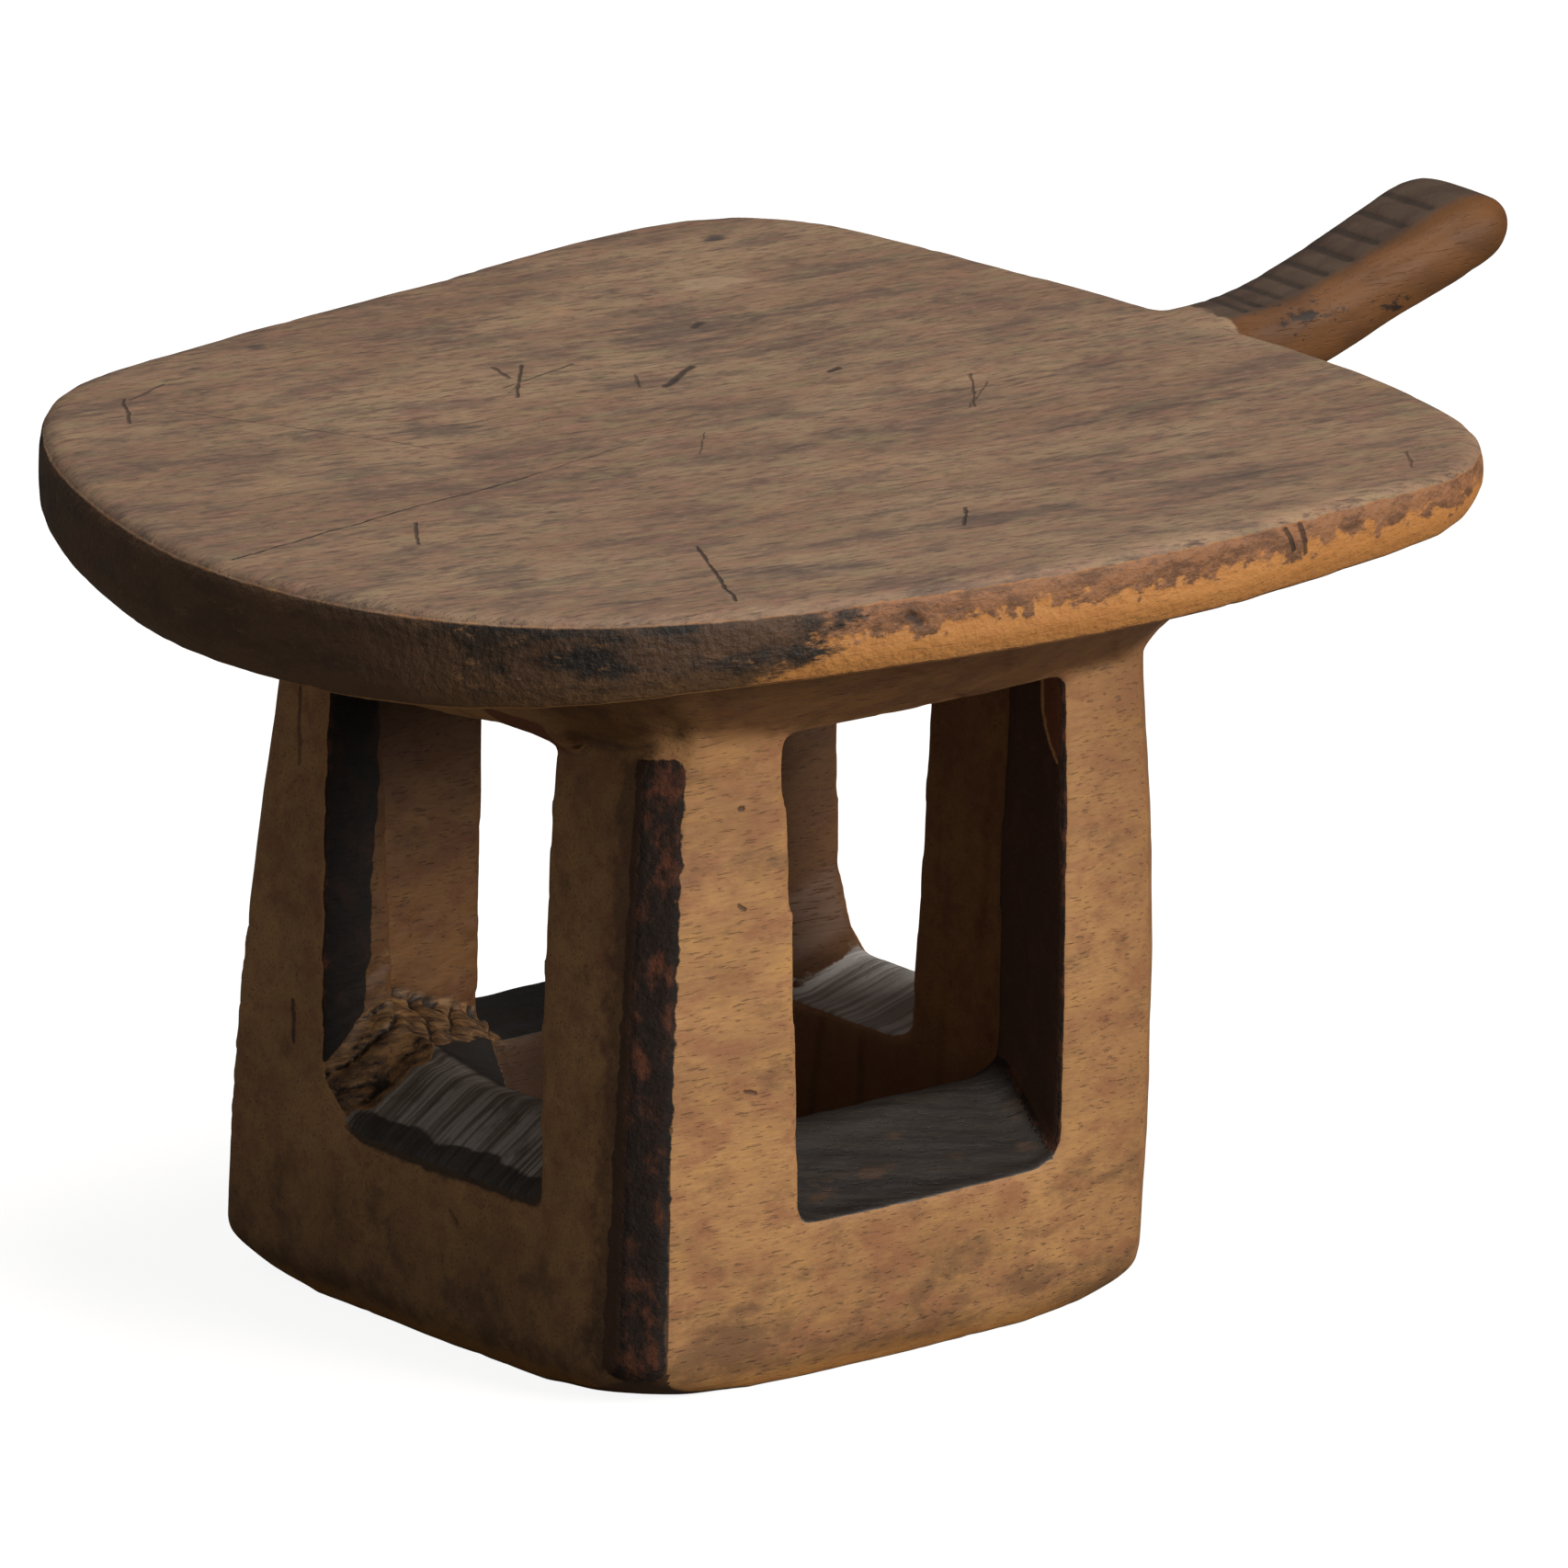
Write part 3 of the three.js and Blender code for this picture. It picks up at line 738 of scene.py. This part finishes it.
class Recipe:
    """The nodes of a material or of the world."""

    def __init__(self, owner):
        owner.use_nodes = True
        self.tree = owner.node_tree
        self.tree.nodes.clear()

    def node(self, kind, settings=None, sockets=None, output=0):
        """Adds a node: its settings first, then its sockets' values or links. Gives one output."""
        made = self.tree.nodes.new(kind)
        for key, setting in (settings or {}).items():
            setattr(made, key, setting)
        for key, value in (sockets or {}).items():
            if isinstance(value, Value):
                self.tree.links.new(value.socket, made.inputs[key])
            else:
                made.inputs[key].default_value = value
        return Value(self, made.outputs[output]) if made.outputs else None

    def mask(self, name):
        return self.node("ShaderNodeAttribute", {"attribute_name": name}, output="Fac")

    def vector(self, operation, *terms, output=0):
        return self.node("ShaderNodeVectorMath", {"operation": operation}, dict(enumerate(terms)), output)

    def blend(self, share, under, over):
        """One colour over another, by a share from 0 to 1."""
        return self.node("ShaderNodeMix", {"data_type": "RGBA"}, {0: share, 6: under, 7: over}, 2)

    def multiply(self, first, second):
        """Two colours multiplied, as a stain over wood."""
        settings = {"data_type": "RGBA", "blend_type": "MULTIPLY"}
        return self.node("ShaderNodeMix", settings, {0: 1.0, 6: first, 7: second}, 2)

    def ramp(self, value, low, high):
        """0 at low and 1 at high, eased."""
        sockets = {"Value": value, "From Min": low, "From Max": high}
        return self.node("ShaderNodeMapRange", {"interpolation_type": "SMOOTHSTEP"}, sockets)

    def noise(self, place, size, detail=3.0, rough=0.55):
        """Noise from 0 to 1 with features of that size in millimetres along the grain, across and up."""
        scaled = self.vector("DIVIDE", place, size)
        sockets = {"Vector": scaled, "Scale": 1.0, "Detail": detail, "Roughness": rough}
        return self.node("ShaderNodeTexNoise", {}, sockets, "Fac")

    def along_grain(self, place):
        settings = {"rotation_type": "Z_AXIS"}
        return self.node("ShaderNodeVectorRotate", settings, {"Vector": place, "Angle": -GRAIN_TURN})

    def closeness(self, spot, size):
        """1 at a spot, falling to 0 at a size in millimetres along the grain, across it and up."""
        offset = self.vector("SUBTRACT", self.place, spot)
        scaled = self.vector("DIVIDE", self.along_grain(offset), size)
        return 1 - self.vector("LENGTH", scaled, output="Value")

    def scored(self, plane, cuts):
        """How deep the cuts are at each place, seen along the axis that the plane leaves out."""
        across, up, missing = plane
        sockets = {"Vector": self.place, "Scale": BEND_SCALE, "Detail": 3.0}
        bend = self.node("ShaderNodeTexNoise", {}, sockets, "Color")
        bent = self.vector("MULTIPLY_ADD", bend, (BEND * 2,) * 3, self.place)
        bent = self.vector("SUBTRACT", bent, (BEND,) * 3)
        flat = self.vector("MULTIPLY", bent, tuple(float(axis != missing) for axis in range(3)))
        wobble = self.noise(self.place, (4, 4, 4), 2.0) - 0.5
        deepest = None
        for start, end, width, depth in cuts:
            ends = []
            for first, second in (start, end):
                corner = Vector((0, 0, 0))
                corner[across] = first
                corner[up] = second
                ends.append(corner)
            run = ends[1] - ends[0]
            offset = self.vector("SUBTRACT", flat, tuple(ends[0]))
            along = self.vector("DOT_PRODUCT", offset, tuple(run / run.length_squared), output="Value")
            along = self.node("ShaderNodeClamp", {}, {"Value": along})
            sockets = {0: tuple(run), "Scale": along}
            foot = self.node("ShaderNodeVectorMath", {"operation": "SCALE"}, sockets)
            gap = self.vector("DISTANCE", offset, foot, output="Value") + wobble
            cut_depth = self.ramp(gap, width * 0.75, width * 0.15) * depth
            deepest = cut_depth if deepest is None else deepest.larger(cut_depth)
        return deepest


def raw_faces(wood):
    """Bare carved faces: tan, mottled pinkish, with short dark fibres and grime, and painted shade towards
    the floor and on the faces turned to the front.
    """
    mottle = wood.noise(wood.grain, (60, 26, 26), 5.0)
    patches = wood.noise(wood.grain, (16, 8, 8), 5.0, 0.65)
    body = wood.blend(wood.ramp(mottle, 0.35, 0.68), colour(191, 142, 91), colour(165, 120, 77))
    body = wood.blend(wood.ramp(patches, 0.45, 0.66) * 0.7, body, colour(156, 102, 70))
    body = wood.blend(wood.ramp(patches, 0.5, 0.27) * 0.6, body, colour(198, 148, 86))
    grime = wood.noise(wood.grain, (26, 12, 12), 6.0, 0.7)
    # Painted shade towards the floor, deepening the grime, the dark fibres and the front faces' shade
    low = wood.ramp(wood.height, 50, 4)
    # Darker towards the tail, and towards the top of the right faces
    darker_back_and_top = wood.ramp(wood.lengthwise, 45, 90) * 0.4
    darker_back_and_top = darker_back_and_top + wood.ramp(wood.height, 130, 185) * wood.mask("right_face") * 0.3
    body = wood.blend(darker_back_and_top, body, colour(126, 84, 50))
    body = wood.blend(wood.ramp(grime + low * 0.14, 0.54, 0.76) * 0.7, body, colour(104, 76, 52))
    body = wood.blend(wood.dashes * (0.5 + low * 0.2), body, colour(78, 54, 38))
    # Painted shade on the faces turned to the front, deeper towards the floor
    front_shade = wood.ramp(wood.forwards, -0.7, -0.95) * (low * 0.25 + 0.2)
    body = wood.blend(front_shade, body, colour(84, 64, 48))
    foot = wood.ramp(wood.height + wood.wander * 6, 7, 2)
    return wood.blend(foot * 0.7, body, colour(190, 130, 66))


def worn_seat(wood):
    """Seat: grey-brown, clouded along the grain, with short dark fibres and old stains."""
    broad = wood.noise(wood.grain, (95, 40, 40), 4.0, 0.6)
    clouds = wood.noise(wood.grain, (34, 11, 11), 6.0, 0.68)
    streaks = wood.noise(wood.grain, (18, 2.2, 2.2), 4.0, 0.65)
    flecks = wood.noise(wood.grain, (7, 2, 2), 6.0, 0.75)
    tints = wood.noise(wood.grain, (16, 6, 6), 5.0, 0.7)
    body = wood.blend(wood.ramp(broad, 0.35, 0.65), colour(149, 122, 95), colour(129, 101, 79))
    body = wood.blend(wood.ramp(clouds, 0.48, 0.64) * 0.6, body, colour(90, 73, 65))
    body = wood.blend(wood.ramp(clouds, 0.44, 0.3) * 0.5, body, colour(160, 126, 90))
    body = wood.blend(wood.ramp(tints, 0.5, 0.64) * 0.5, body, colour(144, 103, 84))
    body = wood.blend(wood.ramp(tints, 0.46, 0.32) * 0.5, body, colour(134, 122, 88))
    body = wood.blend(wood.ramp(flecks, 0.5, 0.64) * 0.7, body, colour(90, 71, 60))
    body = wood.blend(wood.ramp(flecks, 0.46, 0.34) * 0.3, body, colour(178, 148, 118))
    body = wood.blend(wood.ramp(streaks, 0.53, 0.7) * 0.55, body, colour(80, 62, 54))
    body = wood.blend(wood.dashes * 0.5, body, colour(58, 44, 37))
    spot, length, width, strength = PALE_SMUDGE
    near = wood.closeness((*spot, SEAT_TOP), (length, width, SEAT_TOP)) + wood.wander * 1.2
    body = wood.blend(wood.ramp(near, 0.1, 0.6) * strength, body, colour(176, 148, 118))
    stains = None
    for spot, length, width, strength in SMUDGES:
        near = wood.closeness((*spot, SEAT_TOP), (length, width, SEAT_TOP))
        near = near + (clouds - 0.5) * 2.4 + (streaks - 0.5) * 1.8
        stain = wood.ramp(near, 0.0, 0.75) * strength
        stains = stain if stains is None else stains.larger(stain)
    return wood.blend(stains, body, colour(66, 58, 56))


def charred(wood):
    """Scorched strips: nearly black, with reddish brown where the crust has come off. They are darker on
    faces turned right as painted shade, and browner on faces turned to the front as painted light.
    """
    crust = wood.noise(wood.place, (7, 7, 10), 5.0, 0.65)
    body = wood.blend(wood.ramp(crust, 0.47, 0.7), colour(38, 26, 20), colour(98, 56, 36))
    body = wood.blend(wood.ramp(crust, 0.3, 0.2) * 0.7, body, colour(150, 96, 56))
    # Painted shade: darker on faces turned right
    body = wood.blend(wood.ramp(wood.sideways, -0.85, -0.97) * 0.8, body, colour(27, 24, 22))
    # Painted light: browner on faces turned to the front
    return wood.blend(wood.ramp(wood.forwards, -0.85, -0.97) * 0.8, body, colour(88, 62, 46))


def splintered(wood):
    """Torn corner of the front window: dull splinters along the grain, with painted shade, black, between
    them and in the crevices.
    """
    splits = wood.noise(wood.grain, (22, 2.4, 2.4), 5.0, 0.7)
    body = wood.blend(wood.ramp(splits, 0.4, 0.55), colour(136, 100, 62), colour(88, 63, 40))
    # Painted shade between the splinters
    body = wood.blend(wood.ramp(splits, 0.57, 0.63), body, colour(34, 25, 18))
    # Painted shade in the crevices
    cracks = wood.ramp(wood.mask("crevice") + wood.wander * 0.4, 0.25, 0.6)
    return wood.blend(cracks, body, colour(44, 32, 22))


def worn_rim(wood, under):
    """Rim: charred brown at the front, and rubbed pinkish brown over tan along the right. Where it faces
    the front, the charred brown is lighter as painted light.
    """
    blotches = wood.noise(wood.place, (22, 22, 9), 5.0, 0.65)
    flakes = wood.noise(wood.place, (9, 9, 4), 5.0, 0.75)
    upper = wood.mask("rim_height")
    under = wood.blend(wood.mask("rim") * 0.55, under, colour(208, 138, 66))
    rubbed = wood.blend(wood.ramp(flakes, 0.44, 0.6), colour(134, 92, 64), colour(86, 59, 46))
    rubbed = wood.blend(wood.ramp(flakes, 0.6, 0.68), rubbed, colour(64, 46, 40))
    along_top = wood.ramp(upper + wood.wander * 0.9 + (flakes - 0.5) * 0.5, 0.5, 0.62)
    body = wood.blend(along_top * 0.85, under, rubbed)
    dark = wood.blend(wood.ramp(blotches, 0.42, 0.6), colour(78, 54, 35), colour(32, 25, 19))
    # Painted light: the charred brown is lighter where the rim faces the front
    dark = wood.blend(wood.ramp(wood.forwards, -0.7, -0.95) * 0.45, dark, colour(116, 84, 58))
    dark = wood.blend(wood.ramp(flakes, 0.58, 0.7) * 0.6, dark, colour(136, 98, 62))
    dark = wood.blend(wood.ramp(upper + (flakes - 0.5) * 0.8, 0.45, 0.1) * 0.75, dark, colour(110, 78, 48))
    ragged = wood.lengthwise * -1 - 78 + (blotches - 0.5) * 60 + (flakes - 0.5) * 50
    front = wood.ramp(ragged + (upper - 0.5) * 22, -8, 5)
    body = wood.blend(front, body, dark)
    return wood.blend(wood.ramp(wood.mask("rim"), 0.3, 0.7), under, body)


def weathered(wood):
    """Window sills: grey and ridged along the grain, near black on the left and on the torn web, greyer on
    the tail's and paler there as painted light, darker and browner on the right.
    """
    ridges = wood.noise(wood.grain, (50, 1.6, 80), 4.0)
    clouds = wood.noise(wood.grain, (18, 7, 7), 4.0)
    grey = wood.blend(wood.ramp(ridges, 0.4, 0.62), colour(164, 156, 146), colour(106, 94, 82))
    grey = wood.blend(wood.ramp(clouds, 0.5, 0.7) * 0.6, grey, colour(80, 60, 46))
    # Near black on the left wall's sill and on the torn web's top
    grey = wood.blend(wood.mask("near_black_sill"), grey, colour(34, 28, 23))
    # The tail's sill: greyer, and much paler as painted light for the hollow's shade
    grey_with_painted_light = wood.blend(wood.ramp(ridges, 0.4, 0.62), colour(206, 202, 198), colour(156, 149, 143))
    grey = wood.blend(wood.mask("far_sill_painted_light"), grey, grey_with_painted_light)
    brown = wood.blend(wood.ramp(ridges, 0.35, 0.7), colour(50, 43, 37), colour(30, 24, 20))
    brown = wood.blend(wood.ramp(clouds, 0.55, 0.7) * 0.6, brown, colour(84, 58, 38))
    return wood.blend(wood.mask("dark_sill"), grey, brown)


def handled_tail(wood):
    """Tail: orange-tan on its sides with black stains, darker and greyer in the notches as painted shade.
    """
    mottle = wood.noise(wood.grain, (26, 12, 12), 5.0)
    specks = wood.noise(wood.grain, (6, 4, 3), 5.0, 0.7)
    side = wood.blend(wood.ramp(mottle, 0.35, 0.7), colour(108, 68, 30), colour(88, 54, 24))
    for spot, length, height in TAIL_STAINS:
        near = wood.closeness(spot, (length, TAIL_REACH, height)) + (specks - 0.5) * 5
        side = wood.blend(wood.ramp(near, 0.5, 1.1) * 0.9, side, colour(24, 18, 13))
    side = wood.blend(wood.ramp(specks, 0.62, 0.72) * 0.5, side, colour(44, 32, 25))
    sideways = wood.crosswise + wood.wander * 4
    crown = wood.ramp(wood.upward, 0.1, 0.6) * wood.ramp(sideways, -11, -5)
    top = wood.blend(wood.ramp(mottle, 0.35, 0.7), colour(84, 66, 52), colour(64, 46, 35))
    body = wood.blend(crown, side, top)
    # Painted shade in the notches
    return wood.blend(wood.ramp(wood.mask("notch"), 0.2, 0.8) * 0.75, body, colour(46, 35, 28))


def inside_faces(wood, under):
    """Inside of the hollow: duller than outside as painted shade, darker towards the top on faces turned
    right, and nearly black below the sills as painted shade.
    """
    # Painted shade on the faces turned right, darker towards the top
    higher = wood.ramp(wood.height, 80, 180)
    shaded = wood.blend(higher, colour(160, 150, 138), colour(114, 106, 98))
    inside_shade = wood.blend(wood.mask("facing_right"), colour(250, 242, 232), shaded)
    # Painted shade below the sills, darker on faces turned right
    low = wood.ramp(wood.height + wood.wander * 8, 64, 52) * (1 - wood.mask("torn"))
    shade_below_sills = wood.blend(wood.mask("facing_right"), colour(130, 92, 64), colour(66, 47, 34))
    body = wood.blend(low * 0.75, wood.multiply(under, inside_shade), shade_below_sills)
    return wood.blend(wood.ramp(wood.mask("inside"), 0.3, 0.7), under, body)


def flaring_underside(wood, under):
    """Underside of the seat outside the base: a painted shadow of the rim where it turns right and along
    its right side, lighter at the front.
    """
    bare = wood.blend(0.4, under, colour(196, 146, 94))
    # Painted shadow of the rim
    rim_shadow = wood.multiply(under, colour(166, 158, 148))
    darker = wood.mask("facing_right").larger(wood.ramp(wood.crosswise, -30, -70))
    return wood.blend(wood.mask("flare"), under, wood.blend(darker, bare, rim_shadow))


def find_places(wood):
    """Each point's place in millimetres, along the axes and the grain, and which way it faces."""
    facing = {"Vector": wood.node("ShaderNodeNewGeometry", output="Normal")}
    wood.forwards = wood.node("ShaderNodeSeparateXYZ", {}, facing, "X")
    wood.sideways = wood.node("ShaderNodeSeparateXYZ", {}, facing, "Y")
    wood.upward = wood.node("ShaderNodeSeparateXYZ", {}, facing, "Z")
    metres = wood.node("ShaderNodeTexCoord", output="Object")
    placed = wood.vector("SUBTRACT", metres, tuple(FLOOR_MIDDLE))
    wood.place = wood.vector("DIVIDE", placed, (MM, MM, MM))
    wood.grain = wood.along_grain(wood.place)
    axes = {"Vector": wood.place}
    wood.lengthwise = wood.node("ShaderNodeSeparateXYZ", {}, axes, "X")
    wood.crosswise = wood.node("ShaderNodeSeparateXYZ", {}, axes, "Y")
    wood.height = wood.node("ShaderNodeSeparateXYZ", {}, axes, "Z")
    wood.wander = wood.noise(wood.place, (5, 5, 5), 5.0) - 0.5
    wood.dashes = wood.ramp(wood.noise(wood.grain, (9, 0.7, 0.7), 2.0), 0.58, 0.72)
    wood.fibres = wood.noise(wood.grain, (22, 0.8, 0.8), 3.0)


def bare_wood(wood):
    """The carving before fire and weather: faces, inside, underside, rim, tail and seat."""
    blend, ramp, mask, wander = wood.blend, wood.ramp, wood.mask, wood.wander
    body = raw_faces(wood)
    body = blend(ramp(wood.fibres, 0.35, 0.75) * 0.3, body, colour(120, 84, 54))
    body = blend(ramp(mask("ridge") + wander * 0.5, 0.4, 0.9) * 0.35, body, colour(182, 132, 80))
    # Painted shade in the creases
    body = blend(ramp(mask("crease") + wander * 0.3, 0.25, 0.8) * 0.6, body, colour(60, 42, 30))
    body = inside_faces(wood, body)
    body = flaring_underside(wood, body)
    body = worn_rim(wood, body)
    body = blend(ramp(mask("tail") + wander * 0.5, 0.4, 0.6), body, handled_tail(wood))
    return blend(ramp(mask("seat") + wander * 0.8, 0.4, 0.6), body, worn_seat(wood))


def aged(wood, body):
    """Sills, the torn corner, the scorched strips and the split sliver with a painted highlight on its
    edge, laid over the wood.
    """
    blend, ramp, mask, wander = wood.blend, wood.ramp, wood.mask, wood.wander
    body = blend(ramp(mask("sill") + wander * 0.6, 0.5, 0.66), body, weathered(wood))
    body = blend(ramp(mask("torn") + wander * 0.6, 0.35, 0.65), body, splintered(wood))
    body = blend(ramp(mask("lip") + wander * 0.6, 0.4, 0.7) * 0.85, body, colour(34, 26, 20))
    body = blend(ramp(mask("singe") + wander * 1.4, 0.35, 0.8) * 0.5, body, colour(60, 42, 30))
    body = blend(wood.scorch, body, charred(wood))
    body = blend(ramp(mask("sliver") + wander * 0.3, 0.35, 0.6), body, colour(122, 72, 46))
    # Painted highlight along the sliver's edge
    return blend(ramp(mask("sliver_edge"), 0.3, 0.6), body, colour(196, 146, 96))


def carved_wood():
    """The whole carving's wood: one block, with the finish of each stretch blended into the next."""
    material = bpy.data.materials.new("carved_wood")
    wood = Recipe(material)
    find_places(wood)
    wood.scorch = wood.ramp(wood.mask("scorch") + wood.wander * 0.9, 0.42, 0.58)
    body = aged(wood, bare_wood(wood))
    marks = wood.scored((0, 1, 2), SEAT_MARKS) * wood.ramp(wood.mask("seat"), 0.3, 0.6)
    marks = marks.larger(wood.scored((0, 2, 1), RIGHT_MARKS) * wood.mask("right_face"))
    marks = marks.larger(wood.scored((1, 2, 0), FRONT_MARKS) * wood.mask("front_face"))
    body = wood.blend(marks * 0.85, body, colour(44, 34, 30))

    crust = wood.noise(wood.place, (2.5, 2.5, 2.5), 4.0)
    worn = wood.scorch * 0.5 + wood.ramp(wood.mask("rim"), 0.3, 0.7) * 0.7
    height = wood.fibres * -0.08 + wood.dashes * -0.14 + marks * -0.5 + worn * crust + wood.wander * 0.3
    bump = wood.node("ShaderNodeBump", {}, {"Height": height, "Distance": MM, "Strength": 1.0})
    rough = wood.ramp(wood.fibres, 0.0, 1.0) * 0.12 + 0.56
    rough = rough - wood.mask("tail") * 0.02 + wood.scorch * 0.2
    sockets = {"Base Color": body, "Roughness": rough, "Normal": bump, "Specular IOR Level": 0.35}
    shader = wood.node("ShaderNodeBsdfPrincipled", {}, sockets)
    wood.node("ShaderNodeOutputMaterial", {}, {"Surface": shader})
    return material


WOOD = carved_wood()
SEAM_ANGLE = math.radians(55)

for node, piece in pieces.items():
    piece.name = "carved_" + node
    piece.data.materials.clear()
    piece.data.materials.append(WOOD)
    piece.data.shade_smooth()
    piece.data.set_sharp_from_angle(angle=SEAM_ANGLE)
    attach(piece, "root")
    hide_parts(node)

kept = set(pieces.values())
for scrap in list(bpy.context.scene.objects):
    if scrap.type == "MESH" and scrap not in kept and "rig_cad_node" not in scrap:
        bpy.data.objects.remove(scrap)


# Floor, light and camera

FLOOR_REACH = 12.0
WORLD_LIGHT = 0.2


def lamp(name, spot, size, power, tint):
    """A round lamp that shines on the middle of the stool."""
    data = bpy.data.lights.new(name, "AREA")
    data.shape = "DISK"
    data.size = size
    data.energy = power
    data.color = tint
    made = bpy.data.objects.new(name, data)
    bpy.context.scene.collection.objects.link(made)
    made.location = spot
    made.rotation_euler = (SEAT_MIDDLE * 0.6 - Vector(spot)).to_track_quat("-Z", "Y").to_euler()


def pale_floor():
    """Floor: pale by its own light, and white to the camera except where the stool shades it."""
    material = bpy.data.materials.new("pale_floor")
    recipe = Recipe(material)
    lit = recipe.node("ShaderNodeBsdfDiffuse", {}, {"Color": colour(150, 148, 144)})
    dim = recipe.node("ShaderNodeBsdfDiffuse", {}, {"Color": colour(114, 111, 106)})
    glow = recipe.node("ShaderNodeEmission", {}, {"Strength": 0.9})
    paths = recipe.node("ShaderNodeLightPath", output="Is Camera Ray")
    shown = recipe.node("ShaderNodeAddShader", {}, {0: lit, 1: glow})
    mixed = recipe.node("ShaderNodeMixShader", {}, {0: paths, 1: dim, 2: shown})
    recipe.node("ShaderNodeOutputMaterial", {}, {"Surface": mixed})
    mesh = bpy.data.meshes.new("floor")
    reach = FLOOR_REACH
    corners = [(-reach, -reach, 0), (reach, -reach, 0), (reach, reach, 0), (-reach, reach, 0)]
    mesh.from_pydata([Vector(corner) for corner in corners], [], [(0, 1, 2, 3)])
    mesh.materials.append(material)
    new_object("floor", mesh)


def white_world():
    """World: white to the camera, and a dim even light on the stool."""
    world = bpy.data.worlds.new("studio")
    bpy.context.scene.world = world
    recipe = Recipe(world)
    paths = recipe.node("ShaderNodeLightPath", output="Is Camera Ray")
    strength = paths * (1 - WORLD_LIGHT) + WORLD_LIGHT
    background = recipe.node("ShaderNodeBackground", {}, {"Strength": strength})
    recipe.node("ShaderNodeOutputWorld", {}, {"Surface": background})


def long_camera():
    azimuth, elevation, roll = CAMERA_AZIMUTH, CAMERA_ELEVATION, CAMERA_ROLL
    back = Vector((
        math.sin(azimuth) * math.cos(elevation),
        -math.cos(azimuth) * math.cos(elevation),
        math.sin(elevation),
    ))
    level = Vector((math.cos(azimuth), math.sin(azimuth), 0))
    upright = back.cross(level)
    right = level * math.cos(roll) + upright * math.sin(roll)
    up = upright * math.cos(roll) - level * math.sin(roll)
    data = bpy.data.cameras.new("camera")
    data.lens = data.sensor_width * CAMERA_DISTANCE / PICTURE_WIDTH
    data.clip_end = CAMERA_DISTANCE * 3
    made = bpy.data.objects.new("camera", data)
    bpy.context.scene.collection.objects.link(made)
    aim = FLOOR_MIDDLE + right * AIM_RIGHT + up * AIM_UP
    turn = Matrix((right, up, back)).transposed().to_4x4()
    made.matrix_world = Matrix.Translation(aim + back * CAMERA_DISTANCE) @ turn
    bpy.context.scene.camera = made


pale_floor()
white_world()
lamp("key", spot=(0.6, -2.15, 0.95), size=1.0, power=46, tint=(1.0, 0.97, 0.93))
lamp("overhead", spot=(0.1, -0.2, 2.4), size=1.2, power=30, tint=(1.0, 0.98, 0.96))
lamp("fill", spot=(-2.0, -0.6, 1.2), size=2.0, power=1.0, tint=(0.95, 0.97, 1.0))
long_camera()
bpy.context.scene.view_settings.view_transform = "Standard"
